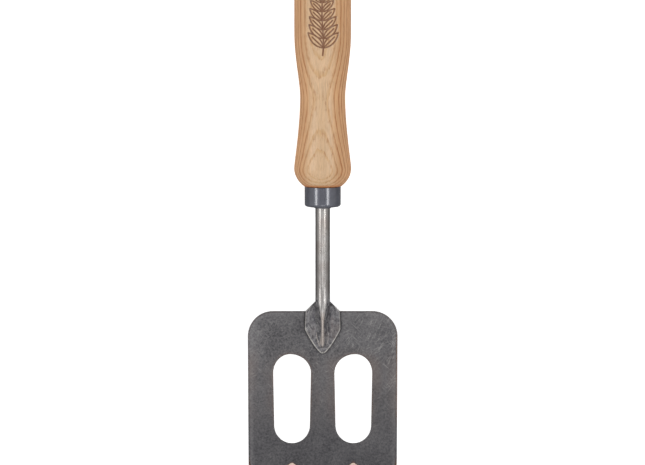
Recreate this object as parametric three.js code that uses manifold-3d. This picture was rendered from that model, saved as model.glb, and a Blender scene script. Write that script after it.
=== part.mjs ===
// A garden hand spork: a slotted blade with three ground tines, welded to the leaf-shaped foot of a shank.
// The shank's tang sits in a turned ash handle, whose lower end is held together by a drawn steel ferrule.
// Millimetres. The tool lies on its back: +Y runs from the tines to the butt of the handle, and +Z is up.
// The origin is on the ground, under the middle of the tool's length.
import * as THREE from "three";
import { mergeVertices } from "three/addons/utils/BufferGeometryUtils.js";
import Module from "manifold-3d";

// Blade, measured across and then down from its top edge
const BLADE_THICKNESS = 2;
const MIDDLE_LEG = 13.2;
const SLOT_WIDTH = 21.2;
const SIDE_LEG = 14.2;
const SIDE_TAPER = 0.7;
const CORNER_RADIUS = 14;
const SHOULDER_PLATE = 24.2;
const SLOT_LENGTH = 50;
const SLOT_TAPER = 1.2;
const SLOT_APEX_OFFSET = 1.1;
const CROSSBAR = 13.2;
const TINE_LENGTH = 41.6;
const TINE_TIP = 2.6;
const OUTER_TINE_TAPER = 27;
const NOTCH_RADIUS = 1.2;
const GROUND_WIDTH = 3.2;
const EDGE_LAND = 0.5;
const DISH_RISE = 2;
const DISH_STEPS = 5;

// Leaf-shaped foot of the shank, which lies on the blade
const LEAF_ABOVE_EDGE = 5.6;
const LEAF_BELOW_EDGE = 23.8;
const LEAF_WIDTH = 20;
const LEAF_NECK_WIDTH = 19;
const LEAF_WIDEST_AT = 10;
const LEAF_TIP_FLAT = 1.6;
const LEAF_EDGE = 1.8;
const RIB_LENGTH = 20.2;
const RIB_TIP_WIDTH = 2.4;
const SEAT_MARGIN = 1.2;

// Shank and tang
const ROD_DIAMETER = 8.2;
const NECK_LENGTH = 58.7;
const NECK_BEND_AT_FOOT = 12;
const NECK_BEND_AT_FERRULE = 30;
const TANG_SIZE = 5.6;
const TANG_TIP_SIZE = 3;
const TANG_LENGTH = 74;
const TANG_ROUND = 4;
const TANG_SHOULDER = 4;

// Weld nuggets between the foot and the blade
const WELD_GAP = 0.3;
const NUGGET_DIAMETER = 5;
const NUGGET_APART = 4.2;
const NUGGET_ROW = 6.5;

// Ferrule
const FERRULE_DIAMETER = 20.2;
const FERRULE_LENGTH = 11.2;
const FERRULE_WALL = 1.2;
const FERRULE_FLOOR = 1.6;
const FERRULE_CORNER = 1.5;

// Handle, measured along its own axis from the ferrule upwards
const HANDLE_TILT = 6;
const HANDLE_FOOT_DIAMETER = 21.2;
const SWELL_DIAMETER = 32.1;
const SWELL_HEIGHT = 10.1;
const WAIST_DIAMETER = 25.1;
const SWELL_TO_WAIST = 39.3;
const PALM_DIAMETER = 31.8;
const WAIST_TO_PALM = 36;
const PALM_LENGTH = 28.5;
const BUTT_LENGTH = 28;

// Fullness of the turned and forged curves, as shares of the stretch that each one spans
const FOOT_FLARE = 0.55;
const FOOT_RISE = 0.22;
const SWELL_HOLD_BELOW = 0.45;
const SWELL_HOLD_ABOVE = 0.05;
const WAIST_HOLD_BELOW = 0.4;
const WAIST_HOLD_ABOVE = 0.25;
const PALM_HOLD = 0.4;
const BUTT_FULLNESS = 0.75;
const LEAF_SIDE_FULLNESS = 0.2;
const LEAF_TIP_FULLNESS = 0.13;

// Room left between pieces that fit into each other
const CLEARANCE = 0.3;

// How far a cutting shape runs past the faces that it cuts
const OVERCUT = 2;
// How finely curves are divided
const ARC_STEPS = 10;
const CURVE_STEPS = 7;
const ROUND_SIDES = 36;
const BAR_SIDES = 24;
const NECK_STEPS = 12;

const rodRadius = ROD_DIAMETER / 2;
const tilt = THREE.MathUtils.degToRad(HANDLE_TILT);

const wasm = await Module();
wasm.setup();

// A closed geometry as a solid that can be cut and joined.
function solidOf(geometry) {
  const bare = geometry.clone();
  bare.deleteAttribute("normal");
  bare.deleteAttribute("uv");
  const merged = mergeVertices(bare, 1e-4);
  return new wasm.Manifold(
    new wasm.Mesh({
      numProp: 3,
      vertProperties: new Float32Array(merged.getAttribute("position").array),
      triVerts: new Uint32Array(merged.index.array),
    }),
  );
}

function geometryOf(solid) {
  const mesh = solid.getMesh();
  const geometry = new THREE.BufferGeometry();
  geometry.setAttribute("position", new THREE.BufferAttribute(mesh.vertProperties, mesh.numProp));
  geometry.setIndex(new THREE.BufferAttribute(mesh.triVerts, 1));
  return geometry;
}

// A closed skin over rings of equally many points. Each ring turns right-handed about the way the run goes.
function loft(rings) {
  const count = rings[0].length;
  const points = rings.flat();
  const faces = [];
  for (let ring = 0; ring + 1 < rings.length; ring += 1) {
    for (let i = 0; i < count; i += 1) {
      const here = ring * count + i;
      const next = ring * count + ((i + 1) % count);
      faces.push(here, next, next + count);
      faces.push(here, next + count, here + count);
    }
  }
  const lastStart = (rings.length - 1) * count;
  const firstCentre = points.length;
  const lastCentre = firstCentre + 1;
  for (const ring of [rings[0], rings.at(-1)]) {
    const centre = new THREE.Vector3();
    ring.forEach((point) => centre.addScaledVector(point, 1 / count));
    points.push(centre);
  }
  for (let i = 0; i < count; i += 1) {
    const next = (i + 1) % count;
    faces.push(firstCentre, next, i);
    faces.push(lastCentre, lastStart + i, lastStart + next);
  }
  const geometry = new THREE.BufferGeometry().setFromPoints(points);
  geometry.setIndex(faces);
  return geometry;
}

function finish(name, geometry, color, roughness, metalness) {
  geometry.computeVertexNormals();
  const mesh = new THREE.Mesh(geometry, new THREE.MeshStandardMaterial({ color, roughness, metalness }));
  mesh.name = name;
  return mesh;
}

// Blade: a flat blank with two slots, ground along its tines and then pressed to a shallow dish

const slotCentre = MIDDLE_LEG / 2 + SLOT_WIDTH / 2;
const bladeTopHalf = MIDDLE_LEG / 2 + SLOT_WIDTH + SIDE_LEG;
const bladeTipHalf = bladeTopHalf - SIDE_TAPER;
const notchApex = SHOULDER_PLATE + SLOT_LENGTH + CROSSBAR;
const bladeLength = notchApex + TINE_LENGTH;
const seatHalf = LEAF_WIDTH / 2 + SEAT_MARGIN;

// The right slot: its sides close in downwards, and the top of its arch leans outwards.
function slotPoints() {
  const topHalf = SLOT_WIDTH / 2;
  const lowHalf = topHalf - SLOT_TAPER / 2;
  const apex = slotCentre + SLOT_APEX_OFFSET;
  const inner = slotCentre - topHalf;
  const outer = slotCentre + topHalf;
  const archFoot = -SHOULDER_PLATE - topHalf;
  const lowCentre = -SHOULDER_PLATE - SLOT_LENGTH + lowHalf;
  const slot = new THREE.Path();
  slot.moveTo(outer, archFoot);
  slot.absellipse(apex, archFoot, outer - apex, topHalf, 0, Math.PI / 2, false);
  slot.absellipse(apex, archFoot, apex - inner, topHalf, Math.PI / 2, Math.PI, false);
  slot.absarc(slotCentre, lowCentre, lowHalf, Math.PI, 2 * Math.PI, false);
  slot.closePath();
  return slot.getPoints(ARC_STEPS);
}

function bladeBlank() {
  const outline = new THREE.Shape();
  const cornerCentre = bladeTopHalf - CORNER_RADIUS;
  outline.moveTo(cornerCentre, 0);
  outline.lineTo(-cornerCentre, 0);
  outline.absarc(-cornerCentre, -CORNER_RADIUS, CORNER_RADIUS, Math.PI / 2, Math.PI, false);
  outline.lineTo(-bladeTipHalf, -bladeLength);
  outline.lineTo(bladeTipHalf, -bladeLength);
  outline.absarc(cornerCentre, -CORNER_RADIUS, CORNER_RADIUS, 0, Math.PI / 2, false);
  for (const side of [-1, 1]) {
    const mirrored = slotPoints().map((point) => new THREE.Vector2(side * point.x, point.y));
    outline.holes.push(new THREE.Path(mirrored));
  }
  return new THREE.ExtrudeGeometry(outline, {
    depth: BLADE_THICKNESS,
    bevelEnabled: false,
    curveSegments: ARC_STEPS,
  });
}

// A cutter whose wall stands upright along the land and then leans back to the ground line on the front face.
function groundCutter(outlineAt) {
  const slope = GROUND_WIDTH / (BLADE_THICKNESS - EDGE_LAND);
  const levels = [
    [-OVERCUT, 0],
    [EDGE_LAND, 0],
    [BLADE_THICKNESS + OVERCUT, slope * (BLADE_THICKNESS + OVERCUT - EDGE_LAND)],
  ];
  return loft(
    levels.map(([height, inset]) => {
      return outlineAt(inset).map((point) => new THREE.Vector3(point.x, point.y, height));
    }),
  );
}

const notchMouthHalf = slotCentre - TINE_TIP / 2;
const notchCentreY = -notchApex - NOTCH_RADIUS;
const notchDepth = TINE_LENGTH - NOTCH_RADIUS;
const notchHalfAngle =
  Math.atan2(notchMouthHalf, notchDepth) - Math.asin(NOTCH_RADIUS / Math.hypot(notchMouthHalf, notchDepth));

// The gap between two tines: two straight edges that meet in an arc at the top.
function notchOutline(centreX, inset) {
  const radius = NOTCH_RADIUS + inset;
  const reach = (notchDepth + OVERCUT) / Math.cos(notchHalfAngle);
  const points = [];
  for (let step = 0; step <= ARC_STEPS; step += 1) {
    const angle = THREE.MathUtils.lerp(notchHalfAngle, Math.PI - notchHalfAngle, step / ARC_STEPS);
    points.push(new THREE.Vector2(radius * Math.cos(angle), radius * Math.sin(angle)));
  }
  const drop = new THREE.Vector2(Math.sin(notchHalfAngle), -Math.cos(notchHalfAngle)).multiplyScalar(reach);
  const right = points[0].clone().add(drop);
  const left = new THREE.Vector2(-right.x, right.y);
  const centre = new THREE.Vector2(centreX, notchCentreY);
  return [right, ...points, left].map((point) => point.add(centre));
}

// The slanted outer edge of an outer tine, as a strip outside it that runs out past both ends of the edge.
function outerEdgeOutline(side, inset) {
  const tip = new THREE.Vector2(slotCentre + notchMouthHalf + TINE_TIP, -bladeLength);
  const root = new THREE.Vector2(bladeTipHalf, -bladeLength + OUTER_TINE_TAPER);
  const along = root.clone().sub(tip).normalize();
  const inward = new THREE.Vector2(-along.y, along.x);
  const runOut = tip.distanceTo(root);
  const from = tip.clone().addScaledVector(along, -runOut).addScaledVector(inward, inset);
  const to = root.clone().addScaledVector(along, runOut).addScaledVector(inward, inset);
  const outside = bladeTopHalf + runOut;
  const corners = [
    from,
    new THREE.Vector2(outside, from.y),
    new THREE.Vector2(outside, to.y),
    to,
  ];
  if (side > 0) {
    return corners;
  }
  return corners.map((corner) => new THREE.Vector2(-corner.x, corner.y)).reverse();
}

// Divides every triangle along the line x = station, so that a flat face can be curved afterwards.
function splitAt(triangles, station) {
  const nearby = 1e-3;
  const pieces = [];
  for (const triangle of triangles) {
    const offsets = triangle.map((point) => (Math.abs(point.x - station) < nearby ? 0 : point.x - station));
    for (const side of [-1, 1]) {
      const kept = [];
      triangle.forEach((point, i) => {
        const j = (i + 1) % 3;
        if (offsets[i] * side >= 0) {
          kept.push(point);
        }
        if (offsets[i] * offsets[j] < 0) {
          const [low, high] = offsets[i] < 0 ? [point, triangle[j]] : [triangle[j], point];
          kept.push(low.clone().lerp(high, (station - low.x) / (high.x - low.x)));
        }
      });
      const lies = offsets.some((offset) => offset * side > 0);
      for (let i = 2; lies && i < kept.length; i += 1) {
        pieces.push([kept[0], kept[i - 1], kept[i]]);
      }
    }
  }
  return pieces;
}

function dishHeight(x) {
  const out = Math.max(0, Math.abs(x) - seatHalf) / (bladeTopHalf - seatHalf);
  return DISH_RISE * out ** 3;
}

// Presses the flat blank: the seat of the foot stays flat, and both sides rise.
function pressed(geometry) {
  const corners = geometry.toNonIndexed().getAttribute("position");
  let triangles = [];
  for (let i = 0; i < corners.count; i += 3) {
    triangles.push([0, 1, 2].map((k) => new THREE.Vector3().fromBufferAttribute(corners, i + k)));
  }
  for (let step = 0; step < DISH_STEPS; step += 1) {
    const station = THREE.MathUtils.lerp(seatHalf, bladeTopHalf, step / DISH_STEPS);
    triangles = splitAt(splitAt(triangles, station), -station);
  }
  const points = triangles.flat().map((point) => {
    return new THREE.Vector3(point.x, point.y, point.z + dishHeight(point.x));
  });
  return mergeVertices(new THREE.BufferGeometry().setFromPoints(points), 1e-4);
}

function bladeGeometry() {
  let blade = solidOf(bladeBlank());
  for (const side of [-1, 1]) {
    blade = blade.subtract(solidOf(groundCutter((inset) => notchOutline(side * slotCentre, inset))));
    blade = blade.subtract(solidOf(groundCutter((inset) => outerEdgeOutline(side, inset))));
  }
  return pressed(geometryOf(blade));
}

// Handle and ferrule: both turned about the handle's axis, which is Y in their own frame

const handleFoot = FERRULE_LENGTH + CLEARANCE;
const spigotEnd = FERRULE_FLOOR + CLEARANCE;
const spigotRadius = FERRULE_DIAMETER / 2 - FERRULE_WALL - CLEARANCE;

function handleProfile() {
  const swell = SWELL_DIAMETER / 2;
  const waist = WAIST_DIAMETER / 2;
  const palm = PALM_DIAMETER / 2;
  const foot = HANDLE_FOOT_DIAMETER / 2;
  const swellAt = handleFoot + SWELL_HEIGHT;
  const waistAt = swellAt + SWELL_TO_WAIST;
  const palmAt = waistAt + WAIST_TO_PALM;
  const buttAt = palmAt + PALM_LENGTH;
  const end = buttAt + BUTT_LENGTH;
  const profile = new THREE.Path();
  profile.moveTo(0, spigotEnd);
  profile.lineTo(spigotRadius, spigotEnd);
  profile.lineTo(spigotRadius, handleFoot);
  profile.lineTo(foot, handleFoot);
  profile.bezierCurveTo(
    foot + (swell - foot) * FOOT_FLARE,
    handleFoot + SWELL_HEIGHT * FOOT_RISE,
    swell,
    swellAt - SWELL_HEIGHT * SWELL_HOLD_BELOW,
    swell,
    swellAt,
  );
  profile.bezierCurveTo(
    swell,
    swellAt + SWELL_TO_WAIST * SWELL_HOLD_ABOVE,
    waist,
    waistAt - SWELL_TO_WAIST * WAIST_HOLD_BELOW,
    waist,
    waistAt,
  );
  profile.bezierCurveTo(
    waist,
    waistAt + WAIST_TO_PALM * WAIST_HOLD_ABOVE,
    palm,
    palmAt - WAIST_TO_PALM * PALM_HOLD,
    palm,
    palmAt,
  );
  profile.lineTo(palm, buttAt);
  profile.bezierCurveTo(palm, buttAt + BUTT_LENGTH * BUTT_FULLNESS, palm * BUTT_FULLNESS, end, 0, end);
  return profile.getPoints(CURVE_STEPS);
}

// The handle's axis is tilted, and its lower swell rests on the ground like the back of the blade.
const handlePoints = handleProfile();
const undersides = handlePoints.map(({ x, y }) => y * Math.sin(tilt) - x * Math.cos(tilt));
const gripHeight = -Math.min(...undersides);
const gripMatrix = new THREE.Matrix4().makeRotationX(tilt).setPosition(0, NECK_LENGTH, gripHeight);

function ferruleGeometry() {
  const outer = FERRULE_DIAMETER / 2;
  const inner = outer - FERRULE_WALL;
  const hole = rodRadius + CLEARANCE;
  const corner = Math.min(FERRULE_CORNER, FERRULE_FLOOR);
  const profile = new THREE.Path();
  profile.moveTo(hole, 0);
  profile.lineTo(outer - corner, 0);
  profile.absarc(outer - corner, corner, corner, -Math.PI / 2, 0, false);
  profile.lineTo(outer, FERRULE_LENGTH);
  profile.lineTo(inner, FERRULE_LENGTH);
  profile.lineTo(inner, FERRULE_FLOOR);
  profile.lineTo(hole, FERRULE_FLOOR);
  profile.lineTo(hole, 0);
  return new THREE.LatheGeometry(profile.getPoints(CURVE_STEPS), ROUND_SIDES);
}

// Shank: one bar, forged square for the tang, round for the neck and flat for the foot

// A ring of the bar: round, or square with the same width across its flats.
function barRing(half, squareness) {
  const points = [];
  for (let i = 0; i < BAR_SIDES; i += 1) {
    const angle = (2 * Math.PI * i) / BAR_SIDES;
    const x = Math.cos(angle);
    const rise = Math.sin(angle);
    const square = 1 / Math.max(Math.abs(x), Math.abs(rise));
    const radius = half * THREE.MathUtils.lerp(1, square, squareness);
    points.push(new THREE.Vector2(radius * x, radius * rise));
  }
  return points;
}

// The tang in the handle's frame, from its tip down to the ferrule. Its bore is alike, with room round it.
function tangRings(room) {
  const shoulder = spigotEnd + TANG_ROUND;
  const stations = [
    [shoulder + TANG_LENGTH + room, TANG_TIP_SIZE / 2, 1],
    [shoulder + TANG_SHOULDER, TANG_SIZE / 2, 1],
    [shoulder, rodRadius, 0],
    [FERRULE_FLOOR, rodRadius, 0],
  ];
  return stations.map(([along, half, squareness]) => {
    return barRing(half + room, squareness).map((point) => new THREE.Vector3(point.x, along, point.y));
  });
}

const footBase = BLADE_THICKNESS + WELD_GAP;

function neckRings() {
  const mouth = new THREE.Vector3().applyMatrix4(gripMatrix);
  const axis = new THREE.Vector3(0, Math.cos(tilt), Math.sin(tilt));
  const foot = new THREE.Vector3(0, LEAF_ABOVE_EDGE, footBase + rodRadius);
  const neck = new THREE.CubicBezierCurve3(
    mouth,
    mouth.clone().addScaledVector(axis, -NECK_BEND_AT_FERRULE),
    foot.clone().add(new THREE.Vector3(0, NECK_BEND_AT_FOOT, 0)),
    foot,
  );
  const across = new THREE.Vector3(1, 0, 0);
  const rings = [];
  for (let step = 0; step < NECK_STEPS; step += 1) {
    const centre = neck.getPoint(step / NECK_STEPS);
    const upright = neck.getTangent(step / NECK_STEPS).cross(across);
    rings.push(
      barRing(rodRadius, 0).map((point) => {
        return centre.clone().addScaledVector(across, point.x).addScaledVector(upright, point.y);
      }),
    );
  }
  return rings;
}

// Half the foot's plan, from the rod down to the tip of the leaf.
function leafOutline() {
  const half = LEAF_WIDTH / 2;
  const neckHalf = LEAF_NECK_WIDTH / 2;
  const shoulderDrop = neckHalf - rodRadius;
  const shoulderFoot = LEAF_ABOVE_EDGE - shoulderDrop;
  const taper = LEAF_BELOW_EDGE - LEAF_WIDEST_AT;
  const outline = new THREE.Path();
  outline.moveTo(rodRadius, LEAF_ABOVE_EDGE);
  outline.lineTo(neckHalf, shoulderFoot);
  outline.quadraticCurveTo(half, (shoulderFoot - LEAF_WIDEST_AT) / 2, half, -LEAF_WIDEST_AT);
  outline.bezierCurveTo(
    half,
    -LEAF_WIDEST_AT - taper * LEAF_SIDE_FULLNESS,
    half * LEAF_TIP_FULLNESS,
    -LEAF_BELOW_EDGE,
    0,
    -LEAF_BELOW_EDGE,
  );
  return outline.getPoints(CURVE_STEPS);
}

// The upper side of the foot: a flat leaf with a rib that runs down from the rod to a point.
function leafTop(x, y) {
  const progress = THREE.MathUtils.clamp((y + RIB_LENGTH) / (LEAF_ABOVE_EDGE + RIB_LENGTH), 0, 1);
  const ribHalf = THREE.MathUtils.lerp(RIB_TIP_WIDTH / 2, rodRadius, progress);
  const crest = Math.max(0, 1 - Math.abs(x) / ribHalf);
  return footBase + LEAF_EDGE + (ROD_DIAMETER - LEAF_EDGE) * progress * crest;
}

function leafRings() {
  const shoulder = LEAF_NECK_WIDTH / 2 - rodRadius;
  const rings = [];
  for (const { x: planHalf, y } of leafOutline()) {
    const half = Math.max(planHalf, LEAF_TIP_FLAT / 2);
    const spread = THREE.MathUtils.smoothstep(LEAF_ABOVE_EDGE - y, 0, shoulder);
    const ring = barRing(1, 0).map((point, i) => {
      const x = half * point.x;
      const round = footBase + rodRadius * (1 + point.y);
      const onEdge = i % (BAR_SIDES / 2) === 0;
      const flat = point.y > 0 ? leafTop(x, y) : footBase;
      const leaf = onEdge ? footBase + LEAF_EDGE / 2 : flat;
      return new THREE.Vector3(x, y, THREE.MathUtils.lerp(round, leaf, spread));
    });
    rings.push(ring);
  }
  return rings;
}

function shankGeometry() {
  const tang = tangRings(0).map((ring) => ring.map((point) => point.applyMatrix4(gripMatrix)));
  return loft([...tang, ...neckRings(), ...leafRings()]);
}

function handleGeometry() {
  const turned = solidOf(new THREE.LatheGeometry(handlePoints, ROUND_SIDES));
  const bore = solidOf(loft(tangRings(CLEARANCE)));
  return geometryOf(turned.subtract(bore));
}

// Weld nuggets: flat discs of fused steel that hold the foot to the blade

function nuggetGeometry() {
  const radius = NUGGET_DIAMETER / 2;
  const disc = new THREE.CylinderGeometry(radius, radius, WELD_GAP, ROUND_SIDES / 2);
  return disc.rotateX(Math.PI / 2);
}

const nuggetSpacing = NUGGET_DIAMETER + NUGGET_APART;
const nuggetPlaces = {
  weld_nugget_left: [-nuggetSpacing / 2, -NUGGET_ROW],
  weld_nugget_right: [nuggetSpacing / 2, -NUGGET_ROW],
  weld_nugget_tip: [0, -NUGGET_ROW - nuggetSpacing],
};

const spork = new THREE.Group();
spork.add(finish("blade", bladeGeometry(), 0x5d5c5f, 0.5, 0.85));
spork.add(finish("shank", shankGeometry(), 0x8d8a87, 0.35, 0.95));
for (const [name, [x, y]] of Object.entries(nuggetPlaces)) {
  const nugget = finish(name, nuggetGeometry(), 0x6a6763, 0.6, 0.9);
  nugget.position.set(x, y, BLADE_THICKNESS + WELD_GAP / 2);
  spork.add(nugget);
}

const grip = new THREE.Group();
grip.applyMatrix4(gripMatrix);
grip.add(finish("ferrule", ferruleGeometry(), 0x5c5c64, 0.25, 0.8));
grip.add(finish("handle", handleGeometry(), 0xc7a381, 0.5, 0));
spork.add(grip);

// The tool is centred on its length, from the tips of the tines to the butt.
const reaches = handlePoints.map(({ x, y }) => y * Math.cos(tilt) + x * Math.sin(tilt));
spork.position.y = (bladeLength - NECK_LENGTH - Math.max(...reaches)) / 2;

const tool = new THREE.Group();
tool.add(spork);

export default tool;
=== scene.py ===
import math

import bmesh
import bpy
import numpy as np
from bpy.props import FloatProperty, FloatVectorProperty, IntProperty, PointerProperty
from mathutils import Matrix, Vector, kdtree, noise
from mathutils.geometry import delaunay_2d_cdt


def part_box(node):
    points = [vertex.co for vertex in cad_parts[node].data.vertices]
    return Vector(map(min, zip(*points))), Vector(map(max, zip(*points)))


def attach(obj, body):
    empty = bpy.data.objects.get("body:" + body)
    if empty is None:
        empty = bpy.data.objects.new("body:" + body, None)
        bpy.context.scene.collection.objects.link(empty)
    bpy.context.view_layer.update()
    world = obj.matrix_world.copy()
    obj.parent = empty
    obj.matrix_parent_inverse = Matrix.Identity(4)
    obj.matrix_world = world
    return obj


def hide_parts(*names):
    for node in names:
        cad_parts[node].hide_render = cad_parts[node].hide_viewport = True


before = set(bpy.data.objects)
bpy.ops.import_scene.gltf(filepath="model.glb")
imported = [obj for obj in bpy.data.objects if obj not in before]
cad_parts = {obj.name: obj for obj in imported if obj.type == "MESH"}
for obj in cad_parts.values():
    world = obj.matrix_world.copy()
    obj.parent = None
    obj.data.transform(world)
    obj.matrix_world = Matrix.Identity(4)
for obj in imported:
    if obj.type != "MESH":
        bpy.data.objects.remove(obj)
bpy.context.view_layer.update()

bl_info = {
    "name": "Garden Hand Spork",
    "version": (1, 0, 0),
    "blender": (4, 5, 0),
    "location": "View3D > Sidebar > Spork",
    "description": "Builds the finished surfaces of a garden hand spork round its packed model",
    "category": "Object",
}

MM = 0.001
BODY = "root"

BLADE_LOW, BLADE_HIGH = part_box("blade")
SHANK_LOW, SHANK_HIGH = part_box("shank")
FERRULE_LOW, FERRULE_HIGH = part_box("ferrule")
HANDLE_LOW, HANDLE_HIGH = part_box("handle")
WELDS = ("weld_nugget_left", "weld_nugget_right", "weld_nugget_tip")
TOP_EDGE = BLADE_HIGH.y
FOOT_BASE = SHANK_LOW.z


# Sizes and colours that a user may change

def distance(name, default, description, least=0.0):
    return FloatProperty(
        name=name,
        description=description,
        default=default,
        min=least,
        precision=5,
        unit="LENGTH",
    )


def share(name, default, description):
    return FloatProperty(name=name, description=description, default=default, min=0, max=1, subtype="FACTOR")


def turn(name, degrees, description):
    return FloatProperty(name=name, description=description, default=math.radians(degrees), subtype="ANGLE")


def count(name, default, description):
    return IntProperty(name=name, description=description, default=default, min=1)


def amount(name, default, description):
    return FloatProperty(name=name, description=description, default=default, min=0)


def linear(channel):
    """A colour channel of 0 to 255, as a display shows it, in linear light."""
    shown = channel / 255
    if shown <= 0.04045:
        return shown / 12.92
    return ((shown + 0.055) / 1.055) ** 2.4


def colour(name, shown, description):
    return FloatVectorProperty(
        name=name,
        description=description,
        default=[linear(channel) for channel in shown],
        min=0,
        max=1,
        subtype="COLOR",
    )


class BladeSizes(bpy.types.PropertyGroup):
    half_width: distance("Half width", BLADE_HIGH.x, "From the middle of the blade to its side, at the top")
    length: distance("Length", BLADE_HIGH.y - BLADE_LOW.y, "From the top edge to the tips of the tines")
    thickness: distance("Thickness", 2 * MM, "Plate that the blade is cut from")
    corner_radius: distance("Corner radius", 14 * MM, "Round of the two top corners")
    side_taper: distance("Side taper", 0.7 * MM, "How far each side closes in from top to tip")
    middle_leg: distance("Middle leg", 13.2 * MM, "Width of the bar between the slots")
    slot_width: distance("Slot width", 21.2 * MM, "Width of a slot under its arch")
    slot_length: distance("Slot length", 50 * MM, "Length of a slot")
    slot_taper: distance("Slot taper", 1.2 * MM, "How much narrower a slot is at its low end")
    slot_lean: distance("Slot lean", 1.1 * MM, "How far the top of a slot's arch leans outwards")
    shoulder_plate: distance("Shoulder plate", 24.2 * MM, "From the top edge to the slots")
    crossbar: distance("Crossbar", 13.2 * MM, "From the slots to the notches between the tines")
    tine_tip: distance("Tine tip", 2.6 * MM, "Width of a tine at its tip")
    outer_taper: distance("Outer taper", 27 * MM, "Length of the slant on the outer tines")
    notch_radius: distance("Notch radius", 1.2 * MM, "Round at the top of a notch")
    ground_width: distance("Ground width", 3.2 * MM, "Width of the bevel that is ground along the tines")
    edge_land: distance("Edge land", 0.5 * MM, "Thickness that is left at a ground edge")
    dish_rise: distance("Dish rise", 2 * MM, "How far the sides rise above the flat seat")
    seat_half: distance("Seat half width", 11.2 * MM, "Half the width of the flat seat under the foot")
    edge_round: distance("Edge round", 0.5 * MM, "Round of the tumbled edges")
    tip_round: distance("Tip round", 0.8 * MM, "Round of the corners of the tips, in plan")
    shoulder_round: distance("Shoulder round", 8 * MM, "Round where an outer tine starts to slant")
    waviness: distance("Waviness", 0.05 * MM, "Depth of the unevenness that pressing left on the front")


class ShankSizes(bpy.types.PropertyGroup):
    rod_diameter: distance("Rod diameter", 8.2 * MM, "Diameter of the neck")
    bend_at_foot: distance("Bend at the foot", 12 * MM, "Run of the neck from the foot before it bends")
    bend_at_ferrule: distance("Bend at the ferrule", 30 * MM, "The same at the ferrule")
    leaf_width: distance("Leaf width", SHANK_HIGH.x - SHANK_LOW.x, "Widest part of the leaf-shaped foot")
    leaf_neck_width: distance("Leaf neck width", 19 * MM, "Width of the leaf at the end of its shoulders")
    leaf_above_edge: distance("Leaf above the edge", 5.6 * MM, "From the blade's top edge to the round neck")
    leaf_below_edge: distance("Leaf below the edge", TOP_EDGE - SHANK_LOW.y, "From that edge to the tip")
    leaf_widest_at: distance("Widest at", 10 * MM, "Where the leaf is widest, below the blade's top edge")
    leaf_edge: distance("Leaf edge", 1.8 * MM, "Thickness of the leaf at its rim")
    leaf_tip_flat: distance("Leaf tip flat", 0.8 * MM, "Width of the leaf at its tip")
    rim_round: distance("Rim round", 0.8 * MM, "Round of the leaf's rim")
    hollow: distance("Hollow", 0.35 * MM, "Depth of the hollows on both sides of the rib")
    rib_length: distance("Rib length", 21 * MM, "How far the rib runs below the blade's top edge")
    rib_crest: distance("Rib crest", 1.15 * MM, "Radius of the rib's rounded crest")
    rib_end_crest: distance("Rib end crest", 1.7 * MM, "The same where the rib ends")
    rib_side: turn("Rib side", 52, "Slope of the rib's sides")
    rib_end_side: turn("Rib end side", 38, "The same where the rib ends")
    rib_end: distance("Rib end", 0.6 * MM, "Height of the rib's blunt end")
    rib_point: distance("Rib point", 2.8 * MM, "Length over which the rib runs out to a point")
    foot_line: distance("Foot line", 0.45 * MM, "Half the width of the bright lines along the rib's foot")
    rub_reach: distance("Rub reach", 2.2 * MM, "How far the rubbed steel reaches down the rib's sides")
    rib_fillet: distance("Rib fillet", 1.8 * MM, "Height over which the rib runs into the leaf")
    crest_run: distance("Crest run", 12.5 * MM, "Length over which the neck narrows to the rib's crest")
    shoulder_run: distance("Shoulder run", 3.4 * MM, "Length over which the neck flattens to the leaf")
    scale_reach: distance("Scale reach", 6 * MM, "How far the foot's dark scale runs up the neck's sides")
    side_fullness: share("Side fullness", 0.05, "How long the leaf stays wide towards its tip")
    tip_fullness: share("Tip fullness", 0.32, "How blunt the leaf's tip is")
    tang_size: distance("Tang size", 5.6 * MM, "Width of the square tang at its shoulder")
    tang_tip_size: distance("Tang tip size", 3 * MM, "Width of the tang at its tip")
    tang_length: distance("Tang length", 74 * MM, "Length of the tang above the round part")
    tang_round: distance("Tang round", 4 * MM, "Length of the round part inside the handle")
    tang_shoulder: distance("Tang shoulder", 4 * MM, "Length over which the round bar turns square")


class FerruleSizes(bpy.types.PropertyGroup):
    diameter: distance("Diameter", FERRULE_HIGH.x - FERRULE_LOW.x, "Outer diameter")
    length: distance("Length", 11.2 * MM, "Length along the handle's axis")
    wall: distance("Wall", 1.2 * MM, "Thickness of the wall")
    floor: distance("Floor", 1.6 * MM, "Thickness of the floor round the neck")
    corner: distance("Corner", 1.5 * MM, "Round between the floor and the wall")
    lip: distance("Lip", 0.25 * MM, "Round of the rims")
    collar: distance("Collar", 0.9 * MM, "Height of the collar round the neck")
    collar_reach: distance("Collar reach", 0.8 * MM, "Width of that collar")
    clearance: distance("Clearance", 0.3 * MM, "Room between the ferrule, the wood and the shank")


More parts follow.
